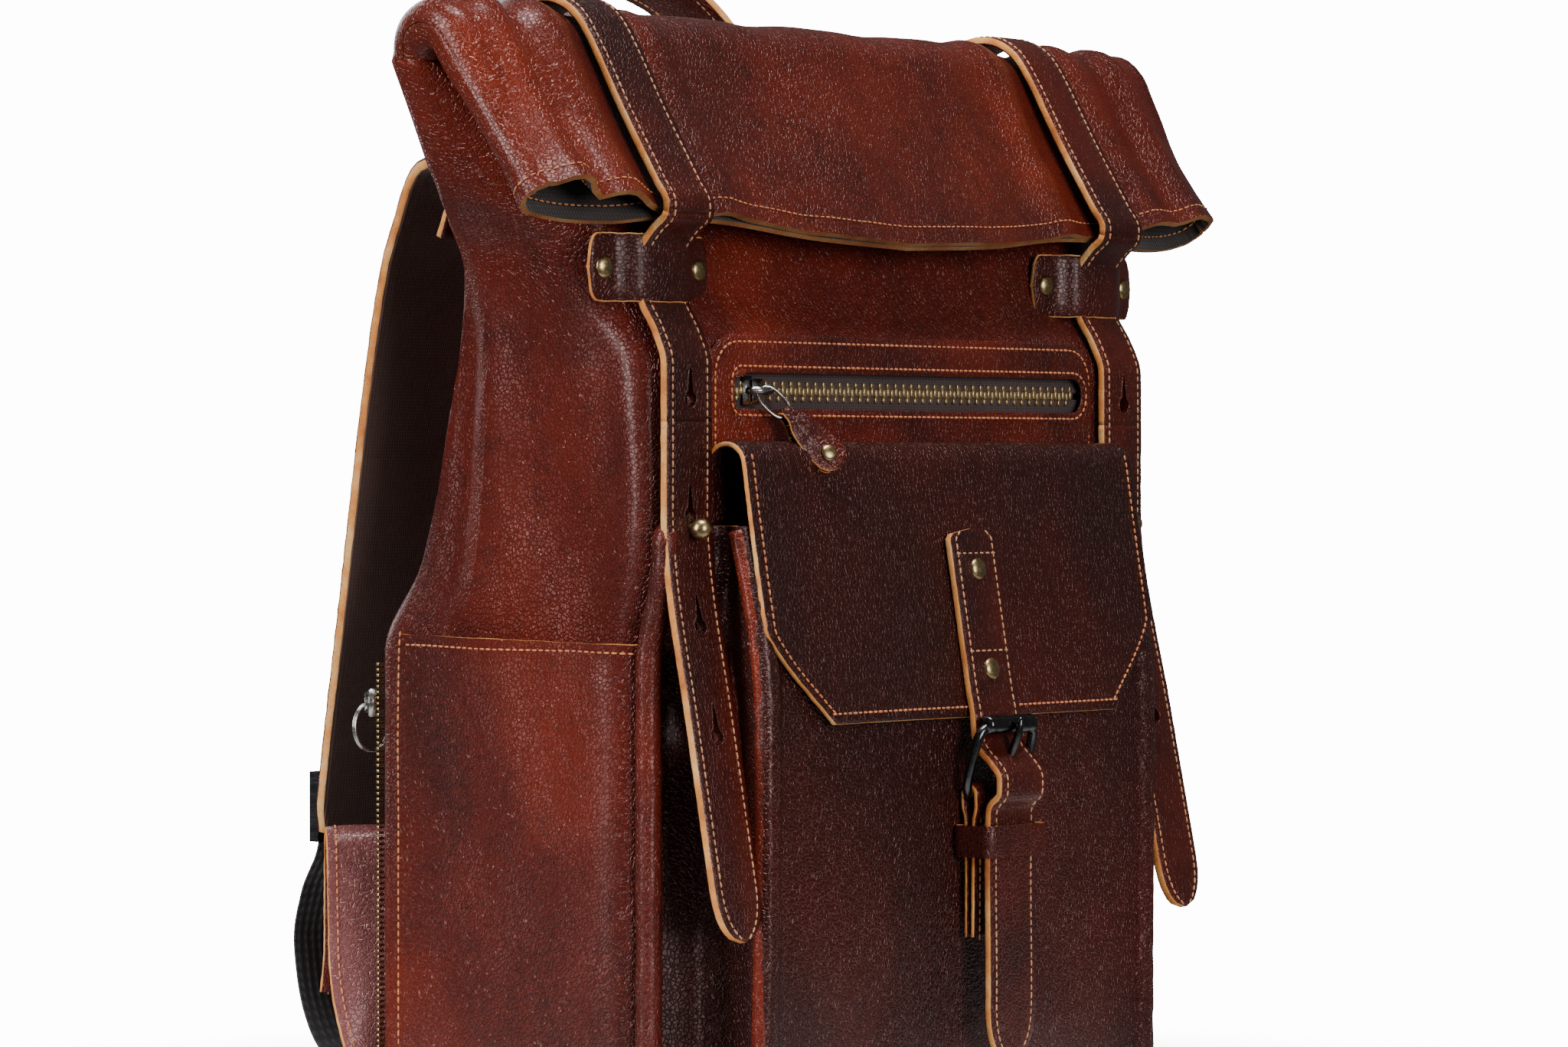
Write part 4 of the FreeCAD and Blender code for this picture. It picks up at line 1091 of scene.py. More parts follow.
AROUND = 220
FACING_FRONT = FACING_LOW[1]
WINDOW_LEFT, WINDOW_RIGHT = span("zip_tapes")[0][0] + 2, span("zip_tapes")[1][0] - 2
ZIP_Z = (FACING_LOW[2] + FACING_HIGH[2]) / 2
WINDOW_HALF = 7.25
window_outline = rounded_box(WINDOW_LEFT, WINDOW_RIGHT, ZIP_Z - WINDOW_HALF, ZIP_Z + WINDOW_HALF,
                             (6.5, 3, 3, 6.5), AROUND)
plate_outline = rounded_box(FACING_LOW[0], FACING_HIGH[0], FACING_LOW[2] - 18, FACING_HIGH[2] + 3,
                            (17, 17, 3, 3), AROUND)


def ring_between(inner, outer, share, depth):
    flat = inner + (outer - inner) * share
    ripple = 0.5 * np.sin(flat[:, 0] / 17) * share * (1 - share) * 4
    return np.stack((flat[:, 0], np.full(len(flat), depth) - ripple, flat[:, 1]), axis=1)


PLATE_DIPS = ((0, 0.7), (0.03, 0.25), (0.12, 0.15), (0.22, 0.35), (0.4, 0), (0.7, 0), (0.9, 0.4), (0.96, 0.8),
              (1.0, 1.7))
plate = np.array([ring_between(window_outline, plate_outline, share, FACING_FRONT + dip) for share,
                  dip in PLATE_DIPS])
facing = skin("zip_facing_plate", plate[:, ::-1], 1.5, unlined("welt"), closed=True)
settle(facing, "bag", "leather_front", "zip_facing")


def inset_outline(outline, gap, depth):
    """A closed line inside an outline (or outside, for a negative gap), at one depth."""
    centre = outline.mean(axis=0)
    way = np.roll(outline, -1, axis=0) - np.roll(outline, 1, axis=0)
    normal = unit(np.stack((-way[:, 1], way[:, 0]), axis=1))
    line = outline + normal * gap
    line = np.concatenate((line, line[:1]))
    return np.stack((line[:, 0], np.full(len(line), depth), line[:, 1]), axis=1)


STITCH_Y = FACING_FRONT - 0.25
window_row = inset_outline(window_outline, -2.6, STITCH_Y + 0.2)
edge_row = inset_outline(plate_outline, 3.4, STITCH_Y + 0.35)
edge_row = edge_row[edge_row[:, 2] > 285]
edge_steps = np.linalg.norm(np.diff(edge_row, axis=0), axis=1)
edge_break = int(np.argmax(edge_steps)) + 1
edge_rows = [edge_row[:edge_break], edge_row[edge_break:]] if edge_steps.max() > 8 else [edge_row]
stitch("facing_stitches", [window_row] + edge_rows, "orange", "bag", pitch=3.1, length=2.5, thick=0.5)
print("facing and its two rows of stitches")

# %% [markdown]
# A zip is two tapes, each with a row of metal teeth clamped on a corded edge. One tooth is a small block
# with a narrow neck; the tree sets it at a pitch of 5.2 mm, and the lower row starts half a pitch later so
# that the teeth mesh.

# %% Zip teeth and tape
BOX_FACES = ((0, 1, 3, 2), (4, 6, 7, 5), (0, 4, 5, 1), (2, 3, 7, 6), (0, 2, 6, 4), (1, 5, 7, 3))


def bevelled_boxes(name, boxes, bevel, segments, clamp):
    """A mesh of boxes, each given by its low and high (x, y, z) corner, with rounded edges."""
    points, faces = [], []
    for low, high in boxes:
        faces += [tuple(len(points) + i for i in face) for face in BOX_FACES]
        points += [(x, y, z) for x in (low[0], high[0]) for y in (low[1], high[1]) for z in (low[2], high[2])]
    mesh = mesh_of(name, points, faces)
    work = bmesh.new()
    work.from_mesh(mesh)
    bmesh.ops.bevel(work, geom=work.edges, offset=bevel * MM, segments=segments, affect="EDGES",
                    clamp_overlap=clamp)
    bmesh.ops.recalc_face_normals(work, faces=work.faces)
    work.to_mesh(mesh)
    work.free()
    return mesh


def tooth_part(name, reach, deep, thin):
    """One tooth: a clamp that grips the tape and a narrower tip. X is its reach, Z lies along the row."""
    clamp, tip = (deep / 2, thin / 2), (deep * 0.36, thin * 0.42)
    boxes = [((x0, -half_y, -half_z), (x1, half_y, half_z)) for x0, x1, (half_y, half_z) in
             ((-0.5 * reach, 0.12 * reach, clamp), (0.12 * reach, 0.5 * reach, tip))]
    PATTERNS.append(new_object(name, bevelled_boxes(name, boxes, 0.18, 1, False)))
    return PATTERNS[-1]


PITCH = 5.2
upper_tooth = tooth_part("upper_tooth", -5.4, 2.8, 2.3)
lower_tooth = tooth_part("lower_tooth", 5.4, 2.8, 2.3)
TEETH_Y = (span("zip_teeth")[0][1] + span("zip_teeth")[1][1]) / 2 - 0.6
teeth_from, teeth_to = span("zip_teeth")[0][0], span("zip_teeth")[1][0]


def tooth_row(name, start, end, part):
    line = np.linspace(start, end, 12)
    return grow(name, lines_mesh([line]), TREES["along"], Pitch=PITCH * MM, Part=part,
                Finish=FINISH["zip_brass"])


upper = tooth_row("zip_teeth_upper", (teeth_from, TEETH_Y, ZIP_Z + 1.3), (teeth_to, TEETH_Y, ZIP_Z + 1.3),
                  upper_tooth)
lower = tooth_row("zip_teeth_lower", (teeth_from + PITCH / 2, TEETH_Y, ZIP_Z - 1.3),
                  (teeth_to - PITCH / 2, TEETH_Y, ZIP_Z - 1.3), lower_tooth)
settle(upper, "bag", "zip_brass", "zip_teeth")
settle(lower, "bag", "zip_brass")


def tape_piece(name, x0, x1, y, z0, z1, corded):
    """Half a zip tape: a flat cloth strip whose inner edge swells into a cord."""
    across = np.linspace(0, 1, 14)
    heights = z0 + (z1 - z0) * across
    swell = 0.7 * hill(across, corded, 0.10)
    grid = np.array([[(x, y - bulge - 0.25 * math.sin(x / 9), z) for x in np.linspace(x0, x1, 60)] for z,
                     bulge in zip(heights, swell)])
    return skin(name, grid, 0.6, (FINISH["zip_tape"],) * 3)


for name, low, high, corded in (("zip_tape_upper", ZIP_Z + 1.4, ZIP_Z + 14, 0.07),
                                ("zip_tape_lower", ZIP_Z - 14, ZIP_Z - 1.4, 0.93)):
    settle(tape_piece(name, WINDOW_LEFT - 4, WINDOW_RIGHT + 4, TEETH_Y + 0.45, low, high, corded), "bag",
           "zip_tape",
           *(["zip_tapes"] if name.endswith("upper") else []))
print("zip of", int((teeth_to - teeth_from) / PITCH), "pairs of teeth")

# %% [markdown]
# The slider is a small casting: two plates joined by a wedge, wide shoulders at the front of its travel,
# and a bridge that holds the pull. The bridge carries a wire ring, and the ring a folded leather tab with a
# rivet.

# %% Slider, ring and leather pull
def lump(name, boxes):
    """A small casting from boxes given as (centre, size), joined, bevelled and rounded."""
    corners = [(np.array(centre) - np.array(size) / 2, np.array(centre) + np.array(size) / 2) for centre,
               size in boxes]
    mesh = bevelled_boxes(name, corners, 0.5, 2, True)
    mesh.shade_smooth()
    return new_object(name, mesh, FINISH["slider_metal"])


SLIDER = (span("zip_slider")[0] + span("zip_slider")[1]) / 2
LUG_Y = FACING_HIGH[1] - 0.1 - 3.6
SLIDER_PLATES = [
    ((1.5, TEETH_Y - 1.9), (9.0, 1.6, 9.8)),
    ((-3.6, TEETH_Y - 1.9), (5.4, 1.6, 12.0)),
    ((0, TEETH_Y + 2.3), (9.5, 1.2, 9.6)),
    ((-3.5, TEETH_Y), (2.2, 4.0, 1.6)),
    ((0, LUG_Y - 1.6), (11.4, 1.4, 3.0)),
    ((-5.1, LUG_Y + 1.0), (1.4, 5.8, 3.0)),
    ((5.1, LUG_Y + 1.0), (1.4, 5.8, 3.0)),
]
slider = lump("zip_slider_casting", [((SLIDER[0] + x, y, ZIP_Z), size) for (x, y), size in SLIDER_PLATES])
settle(slider, "zip_slider", "slider_metal", "zip_slider")

PULL_WAY = unit(np.array((0.47, -0.543, -0.696)))
RING_TOP = np.array((SLIDER[0] + 1.0, LUG_Y + 0.4, ZIP_Z))
PULL_SIDE = unit(np.cross(PULL_WAY, (-0.50, -0.80, 0.35)))


def oval(centre, way, side, half_length, half_width, count=36, square=2.6):
    """Points round an oval or rounded rectangle in the plane of way and side."""
    turn = np.linspace(0, 2 * math.pi, count, endpoint=False)
    c, s = np.cos(turn), np.sin(turn)
    along = np.sign(c) * np.abs(c) ** (2 / square) * half_length
    wide = np.sign(s) * np.abs(s) ** (2 / square) * half_width
    return np.array(centre) + along[:, None] * way + wide[:, None] * side


ring = wire("zip_pull_ring", oval(RING_TOP + PULL_WAY * 6.5, PULL_WAY, PULL_SIDE, 7.0, 4.5, square=2.9), 0.85,
            FINISH["slider_metal"], closed=True)
settle(ring, "zip_ring", "slider_metal", "zip_ring")

TAB_START = RING_TOP + PULL_WAY * 13.5
tab_out = unit(np.cross(PULL_WAY, PULL_SIDE))
tab_out = tab_out if tab_out[1] < 0 else -tab_out
TAB_LENGTH = 30.0
front_leg = [TAB_START + PULL_WAY * d + tab_out * lift for d,
             lift in ((-2.2, 0.0), (-1.3, 2.0), (1.6, 2.5), (9.5, 2.3), (14, 1.3), (TAB_LENGTH, 1.1))]
back_leg = [TAB_START + PULL_WAY * d - tab_out * lift for d,
            lift in ((TAB_LENGTH - 1.2, 1.1), (14, 1.3), (9.5, 2.3), (1.6, 2.5), (-1.3, 2.0))]
tab_line = line_through(back_leg + front_leg, 0.9)
tab_reach = (tab_line - TAB_START) @ PULL_WAY
tab_half = glide(tab_reach, [-2, 2, 9, TAB_LENGTH - 6, TAB_LENGTH - 2, TAB_LENGTH],
                 [1.9, 2.5, 6.0, 7.2, 5.4, 1.4])
tab = band("zip_pull_tab", tab_line, tab_half, 1.7, STRAP_HIDE, side=PULL_SIDE, columns=8, rag=0.3, crown=0.1)
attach(tab, "zip_tab")
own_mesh(tab)
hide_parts("zip_tab")

dome = turned("rivet_head", [(4.5, -0.6), (4.6, 0.25), (4.2, 0.9), (3.2, 1.55), (1.8, 1.95), (0.4, 2.1)])
small_dome = turned("small_rivet_head", [(3.4, -0.4), (3.45, 0.2), (3.0, 0.8), (2.0, 1.2), (0.3, 1.35)])
tab_rivet = set_in("zip_tab_rivet", [(TAB_START + PULL_WAY * (TAB_LENGTH - 7) + tab_out * 1.9, tab_out),
                                     (TAB_START + PULL_WAY * (TAB_LENGTH - 7) - tab_out * 1.9, -tab_out)],
                   small_dome, FINISH["antique_brass"])
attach(tab_rivet, "zip_tab")
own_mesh(tab_rivet)
print("slider, ring and pull hang at", np.round(TAB_START + PULL_WAY * TAB_LENGTH))

# %% [markdown]
# The bellows pocket is one sheet too: from the body's corner it folds inwards, runs forward as the gusset,
# turns round a rolled seam and crosses the front, then the same on the other side. Each height has its own
# section, crowned in the middle, and the seam's roll stands out like a cord under the leather.

# %% Bellows pocket
POCKET_HALF = POCKET_HIGH[0]
POCKET_FRONT = POCKET_LOW[1]
GUSSET_FOOT = -(HALF_WIDTH - 10)


def pocket_section(front, back, crown_depth):
    """The left half of a section, from the body's corner to the middle of the pocket's front."""
    depth = front - back
    seam = [(-1.5, back + depth * 0.18), (2.0, back + depth * 0.42), (-1.0, back + depth * 0.66),
            (-4.6, back + depth * 0.86), (-3.4, front - 2.6), (2.2, front - 3.4), (6.2, front - 0.6),
            (16, front - 0.4 - 0.2 * crown_depth)]
    return line_through([(GUSSET_FOOT, back + 2.0, 0), (GUSSET_FOOT + 9, back - 3.0, 0)]
                        + [(-POCKET_HALF + inward, y, 0) for inward, y in seam]
                        + [(-POCKET_HALF * 0.5, front - 0.8 * crown_depth, 0), (0, front - crown_depth, 0)],
                        2.4)


def pocket_front_at(z):
    """Depth of the pocket's front at a height: rounded in at the foot, leaning back at the top."""
    return float(glide(z, [0, 7, 14, 26, 180, 215, 262],
                       [-88, -92, -108, POCKET_FRONT + 1, POCKET_FRONT, POCKET_FRONT + 3, POCKET_FRONT + 14]))


pocket_heights = np.concatenate((np.linspace(7, 14, 5), np.linspace(18, 258, 62)))
samples = 150
pocket_rows = []
for z in pocket_heights:
    back = float(glide(z, FRONT_MARKS, FRONT_DEPTHS)) - 0.6
    front = pocket_front_at(z)
    half_line = pocket_section(front, back, float(glide(z, [0, 60, 160, 262], [1.0, 3.0, 2.5, 0.5])))
    mirror = half_line[::-1][1:] * (-1, 1, 1)
    whole = np.concatenate((half_line, mirror))
    marks = np.linspace(0, 1, len(whole))
    row = np.stack([np.interp(np.linspace(0, 1, samples), marks, whole[:, k]) for k in range(3)], axis=1)
    row[:, 2] = z
    pocket_rows.append(row)
pocket_grid = np.array(pocket_rows)
pocket_normals = grid_normals(pocket_grid, closed=False)
on_front = hill(np.abs(pocket_grid[..., 0]), 0, 118) * (pocket_grid[..., 1] < -95)
lift = (1.7 * wander(pocket_grid, 60, 21) + 0.8 * wander(pocket_grid, 24, 22, (1, 1, 2))) * on_front
at_seams = hill(np.abs(pocket_grid[..., 0]), POCKET_HALF, 7)
lift = lift + 0.55 * wander(pocket_grid, 9, 23, (1, 1, 0.6)) * at_seams
pocket_grid = pocket_grid + pocket_normals * lift[..., None]
pocket = skin("bellows_pocket", pocket_grid, 2.0, lined("front"))
settle(pocket, "bag", "leather_front", "pocket_front", "pocket_gusset")
print("pocket", round(2 * POCKET_HALF), "mm wide,", round(BULGE_Y - POCKET_FRONT), "mm deep at the top")

# %% [markdown]
# Where the side meets the front, the two hides are sewn inside out and turned, which leaves a plump rounded
# edge. It catches the light as a long red line, so it is a piece of its own, with a seam row above it.

# %% Rolled corner edges
WELT_TOP = 259
for side, sign in SIDES:
    spots = [(sign * (HALF_WIDTH - 1.6), float(glide(z, FRONT_MARKS, FRONT_DEPTHS)) - 2.2,
              z) for z in np.linspace(8, WELT_TOP, 20)]
    line = line_through(spots, 3.0)
    line = line + wander(line, 30, 31 + sign, (1, 1, 1.5))[:, None] * (0.9, 0.6, 0)
    thick = 5.2 + 0.5 * wander(line, 14, 33) + 0.25 * wander(line, 5, 34)
    thick[-2:] *= (0.85, 0.5)
    welt = wire(f"{side}_corner_roll", line, thick, FINISH["leather_welt"], sides=14)
    settle(welt, "bag", "leather_front")
    seam = np.linspace((sign * (HALF_WIDTH - 5), BULGE_Y - 1.2, WELT_TOP + 5),
                       (sign * (POCKET_HALF + 1), BULGE_Y - 1.2, WELT_TOP + 5), 8)
    stitch(f"{side}_panel_seam", [seam], "orange", "bag", pitch=3.2, length=2.6, thick=0.46)
    spots = [(sign * (POCKET_HALF + 1.2), pocket_front_at(z) + 2.6, z) for z in np.linspace(16, 256, 20)]
    line = line_through(spots, 3.0)
    line = line + wander(line, 30, 36 + sign, (1, 1, 1.5))[:, None] * (0.8, 0.5, 0)
    thick = 4.0 + 0.4 * wander(line, 14, 37) + 0.2 * wander(line, 5, 38)
    settle(wire(f"{side}_pocket_roll", line, thick, FINISH["leather_welt"], sides=14), "bag", "leather_front")
print("corner rolls", WELT_TOP, "mm tall")

# %% [markdown]
# Inside, the bag has a loose cloth lining and a thin board in its base. Both have to keep inside the
# rounded corners of the hide, so they are drawn from the same rings.

# %% Lining and base board
low_rows = np.flatnonzero((LENGTHS > 7) & (LENGTHS < 202))
lining = skin("main_lining_sheet", TUBE[low_rows] - TUBE_NORMALS[low_rows] * 3.4, 0.6,
              (FINISH["lining_fabric"],) * 3, closed=True)
settle(lining, "bag", "lining_fabric", "main_lining")


def slab(name, outline, low, high, material):
    """A flat plate from an (x, y) outline, between two heights."""
    count = len(outline)
    points = [(x, y, z) for z in (low, high) for x, y in outline]
    faces = [tuple(range(count - 1, -1, -1)), tuple(range(count, 2 * count))]
    faces += [(i, (i + 1) % count, count + (i + 1) % count, count + i) for i in range(count)]
    return new_object(name, mesh_of(name, points, faces), material)


board = slab("bag_board",
             rounded_box(-HALF_WIDTH + 9, HALF_WIDTH - 9, -HALF_DEPTH + 9, HALF_DEPTH - 17, (14, 14, 14, 14),
                         80),
             3.2, 6.2, FINISH["stiffener"])
settle(board, "bag", "stiffener", "base_board")
print("lining and board")

# %% [markdown]
# Each long strap starts at the back, runs over the roll, turns under the hem, goes through its keeper and
# hangs down the front, where a ball stud holds it by a keyhole. It is one line, cut where the bag's joints
# bend it. Keyholes are real holes: a round bottom for the ball and a slit above it that grips the neck.

# %% Line of the long straps
def strap_line(sign):
    """Middle of one long strap, from the back of the neck to its tip; sign is -1 for the left one."""
    points = [(0, 33.4, 375), (0, 20.0, 408), (0, 6.4, 441)]
    points += [(0, -22 + 28.2 * math.cos(a),
                441 + 28.2 * math.sin(a)) for a in np.radians(np.arange(14, 150, 12))]
    points += [(0, -66.5, 421.5), (0, -84.5, 393), (0, -89.4, 385.2), (0, -89.0, 381.2), (0, -83, 376.2),
               (0, -75.4, 367), (0, -72.8, 358),
               (0, -76.0, 347), (0, -83.4, 335), (0, -88.3, 322), (0, -88.4, 285), (0, -88.3, 262),
               (0, -89.6, 244),
               (0, -101, 180), (0, -116.3, 91 if sign > 0 else 95)]
    line = line_through(points, 2.2)
    line[:, 0] = sign * (STRAP_X + glide(-line[:, 2], [-245, -80], [0, 10 if sign > 0 else -1]))
    front = line[:, 1] < -70
    line[:, 0] += front * glide(-line[:, 2], [-380, -300, -80], [0, 0.6, 0]) * sign
    return line


def cut(thing, cutter):
    """Cuts one mesh out of another for good."""
    modifier = thing.modifiers.new("cut", "BOOLEAN")
    modifier.operation, modifier.solver, modifier.object = "DIFFERENCE", "EXACT", cutter
    mesh = result_of(thing)
    thing.modifiers.remove(modifier)
    thing.data = mesh
    bpy.data.objects.remove(cutter)


def keyhole_outline(radius, slit):
    """A teardrop in (across, up): a round bottom and a slit that runs up from it."""
    ring = [(radius * math.sin(a), -radius * math.cos(a)) for a in np.radians(np.arange(-150, 151, 12))]
    return np.array(ring + [(0.75, slit - 0.6), (0, slit), (-0.75, slit - 0.6)])


def keyhole_cutter(x, y, z):
    outline = keyhole_outline(3.3, 12.5)
    count = len(outline)
    points = [(x + u, y + side, z + v) for side in (-9, 9) for u, v in outline]
    faces = [tuple(range(count)), tuple(range(2 * count - 1, count - 1, -1))]
    faces += [(i, count + i, count + (i + 1) % count, (i + 1) % count) for i in range(count)]
    mesh = mesh_of("keyhole", points, faces)
    tidy_normals(mesh)
    return new_object("keyhole", mesh)


# %% Long straps
STRAP_THICK = 4.3
KEYHOLES = (308, 262, 218, 174)
for side, sign in SIDES:
    line = strap_line(sign)
    half = pointed(line, STRAP_HALF, 23)
    turn_under = int(np.argmax((line[:, 1] < -80) & (line[:, 2] < 383.5)))
    handover = int(np.argmax((line[:, 1] < -70) & (line[:, 2] < 300) & (np.arange(len(line)) > turn_under)))
    parts = {"over": slice(0, turn_under + 1), "leg": slice(turn_under, handover + 1),
             "tail": slice(handover, None)}
    nodes = {"over": ("strap_backs", "strap_bends", "strap_fronts") if sign < 0 else (),
             "leg": (f"{side}_strap_leg",),
             "tail": (f"{side}_strap_tail",)}
    bodies = {"over": (ROLL, *OUTER_BEND), "leg": (("mouth", f"{side}_strap"), (0, 0, 384), (0, 0, 362)),
              "tail": ((f"{side}_strap", f"{side}_tail"), (0, 0, 255), (0, 0, 232))}
    tangent, beside, out = frame_along(line, (1, 0, 0))
    for key, cells in parts.items():
        piece = band(f"{side}_long_strap_{key}", line, half, STRAP_THICK, STRAP_HIDE, cells=cells)
        rims = []
        for z in KEYHOLES:
            near = int(np.argmin(np.abs(line[:, 2] - z) + 1000 * (line[:, 1] > -80)))
            if parts[key].start <= near < (parts[key].stop or len(line)):
                cut(piece, keyhole_cutter(*line[near]))
                rim = keyhole_outline(3.8, 13.6)
                rims.append(wire(f"{side}_keyhole_rim_{z}", line[near] + out[near] * (STRAP_THICK / 2 + 0.05)
                                 + rim[:, :1] * beside[near] - rim[:, 1:] * tangent[near], 0.55,
                                 FINISH["leather_strap"], closed=True, sides=6))
        seams = rows_beside(line, half, STRAP_THICK, first=cells.start, last=cells.stop)
        if key != "leg":
            seams = [row for row in seams if len(row) > 2]
        sewn = sew(f"{side}_{key}_stitches", seams, "light")
        bend(piece, *bodies[key], "leather_strap", *nodes[key])
        bend(sewn, *bodies[key], "thread_light")
        for rim in rims:
            bend(rim, *bodies[key], "leather_strap")
print("two long straps,", len(KEYHOLES), "keyholes each")

# %% [markdown]
# The keepers are short loops, riveted at both ends, that hold the long straps against the neck. A rivet is
# a low dome with a rolled foot; one pattern part serves them all, set in by the third tree.

# %% Keepers and rivets
KEEPER_LOW, KEEPER_HIGH = span("left_keeper")
KEEPER_Z = (KEEPER_LOW[2] + KEEPER_HIGH[2]) / 2
KEEPER_OUTLINE = [(-35, -67.4), (-29, -68.4), (-23, -69.6), (-18.5, -72.4), (-14.5, -76.2), (-8, -78.3)]
rivet_spots = []
for side, sign in SIDES:
    middle = sign * STRAP_X
    outline = KEEPER_OUTLINE + [(0, -78.8)] + [(-x, y) for x, y in KEEPER_OUTLINE[::-1]]
    line = line_through([(middle + x, y, KEEPER_Z) for x, y in outline], 1.2)
    rounded_ends = np.minimum(pointed(line, 1, 5), pointed(line[::-1], 1, 5)[::-1])
    half = (KEEPER_HIGH[2] - KEEPER_LOW[2]) / 2 * rounded_ends
    keeper = band(f"{side}_keeper_loop", line, half, 2.6, STRAP_HIDE, side=(0, 0, 1), seam=2.6)
    settle(keeper, "bag", "leather_strap", f"{side}_keeper")
    for dx in (-28, 28):
        rivet_spots.append(((middle + dx, -70.0, KEEPER_Z), (0.12 * (1 if dx > 0 else -1), -1.0, 0)))
settle(set_in("keeper_rivet_heads", rivet_spots, dome, FINISH["antique_brass"]), "bag", "antique_brass",
       "keeper_rivets")
print("keepers", round(KEEPER_HIGH[2] - KEEPER_LOW[2]), "mm tall")

# %% [markdown]
# The flap is sewn to the body behind, folds softly over the top of the pocket and lies on its front. It
# narrows at its foot to two chamfers, where the cut edge shows tan. A hide this size never lies flat, so it
# gets a slow ripple once its section is made.

# %% Pocket flap
FLAP_HALF = span("pocket_flap")[1][0]
FLAP_TOP, FLAP_FOOT = span("flap_fold")[0][2], span("pocket_flap")[0][2]
FLAP_FRONT_TOP, FLAP_FRONT_FOOT = -104.8, -122.6


def flap_depth(z):
    """Middle of the flap's thickness on its front, at a height."""
    return FLAP_FRONT_TOP + (FLAP_FRONT_FOOT - FLAP_FRONT_TOP) * (FLAP_TOP - z) / (FLAP_TOP - FLAP_FOOT)


def ripple(thing, way, size, amount, seed, stretch=(1, 1, 1)):
    """Moves a finished mesh a little along one direction, in slow waves."""
    points = np.array([v.co for v in thing.data.vertices]) / MM
    moved = points + wander(points, size, seed, stretch)[:, None] * amount * np.array(way)
    thing.data.vertices.foreach_set("co", (moved * MM).ravel())


def uneven_steps(half, inset):
    """Columns of a wide band: close together at its stitched edges."""
    edge = [0, 0.8, 1.6, inset - 1.2, inset, inset + 1.2, inset + 3]
    inner = np.linspace(half - inset - 3, 0, 13)[1:]
    right = np.array([half - e for e in edge] + list(inner)) / half
    return np.concatenate((-right, right[::-1][1:]))


flap_points = [(0, -85.9, 259), (0, -85.9, 270), (0, -86.0, 281)]
flap_points += [(0, -95.35 + 9.45 * math.cos(a),
                 FLAP_TOP + 9.4 * math.sin(a)) for a in np.radians(np.arange(18, 166, 18))]
flap_points += [(0, flap_depth(z), z) for z in (276, 250, 215, FLAP_FOOT)]
flap_line = line_through(flap_points, 2.4)
run = along_line(flap_line)
flap_half = glide(run[-1] - run, [0, 2.5, 33, 39, 200],
                  [93, 95.5, FLAP_HALF - 3.6, FLAP_HALF - 0.4, FLAP_HALF])
FLAP_THICK, FLAP_SEAM = 3.0, 4.2
flap = band("pocket_flap_sheet", flap_line, flap_half, FLAP_THICK, FLAP_HIDE, seam=FLAP_SEAM, crown=0.05,
            columns=uneven_steps(FLAP_HALF, FLAP_SEAM), rag=0.35)
front_part = np.flatnonzero((flap_line[:, 1] < -103) & (flap_line[:, 2] < FLAP_TOP + 4))
flap_seams = rows_beside(flap_line, flap_half, FLAP_THICK, inset=FLAP_SEAM, first=int(front_part[0]))
foot = np.linspace((-flap_half[-3] + FLAP_SEAM, flap_depth(FLAP_FOOT + 4) - FLAP_THICK / 2 - 0.1,
                    FLAP_FOOT + 4.2),
                   (flap_half[-3] - FLAP_SEAM, flap_depth(FLAP_FOOT + 4) - FLAP_THICK / 2 - 0.1,
                    FLAP_FOOT + 4.2), 60)
flap_seams = [row[row[:, 2] > FLAP_FOOT + 4] for row in flap_seams] + [foot]
flap_sewn = sew("flap_stitches", flap_seams, "orange", pitch=3.1, length=2.5, thick=0.48)
for piece in (flap, flap_sewn):
    ripple(piece, (0, -1, 0.3), 70, 1.0, 41, (1, 1, 1.2))
    ripple(piece, (0, -1, 0.2), 26, 0.3, 42)
FLAP_BEND = (("bag", "flap"), (0, -88, 0), (0, -104, 0))
bend(flap, *FLAP_BEND, "leather_flap", "pocket_flap", "flap_fold", "flap_return")
bend(flap_sewn, *FLAP_BEND, "thread_orange")
print("flap", round(2 * FLAP_HALF), "mm wide with", round(FLAP_HALF - 93), "mm chamfers")

# %% [markdown]
# The closure is a strap riveted to the flap that runs behind the buckle's roller, out in a slack bow over
# its bar, and down through a loop. The chape holds the buckle: a folded strip round its lower bar, snapped
# to the pocket.

# %% Closure strap and chape
CLOSE_LOW, CLOSE_HIGH = span("closure_strap")
CLOSE_X, CLOSE_HALF = (CLOSE_LOW[0] + CLOSE_HIGH[0]) / 2, (CLOSE_HIGH[0] - CLOSE_LOW[0]) / 2
BAR = np.array((CLOSE_X, -124.5, 146.0))
CLOSE_THICK = 3.8
on_flap = [(flap_depth(z) - 3.6, z) for z in (256, 235, 210, 190)]
through_buckle = [(-126.6, 179), (-127.2, 172), (-130.2, 165.5), (-136.2, 160), (-140.4, 154), (-140.2, 148)]
hanging = [(-136.0, 144), (-134.5, 140.5), (-134.2, 112), (-134.6, 72), (-134.2, 38)]
close_line = line_through([(CLOSE_X, y, z) for y, z in on_flap + through_buckle + hanging], 2.0)
close_half = np.minimum(pointed(close_line, CLOSE_HALF, 24), pointed(close_line[::-1], CLOSE_HALF, 5)[::-1])
close = band("closure_strap_band", close_line, close_half, CLOSE_THICK, STRAP_HIDE)
CLOSE_BEND = (("flap", "closure"), (0, 0, 187), (0, 0, 171))
close_seams = rows_beside(close_line, close_half, CLOSE_THICK, inset=3.4)
box_row = []
for z in (246, 206):
    y = flap_depth(z) - 3.6 - CLOSE_THICK / 2 - 0.15
    box_row.append(np.linspace((CLOSE_X - CLOSE_HALF + 3.6, y, z), (CLOSE_X + CLOSE_HALF - 3.6, y, z), 8))
close_sewn = sew("closure_stitches", close_seams + box_row, "light", pitch=3.3, length=2.7, thick=0.43)
bend(close, *CLOSE_BEND, "leather_strap", "flap_tab", "closure_strap")
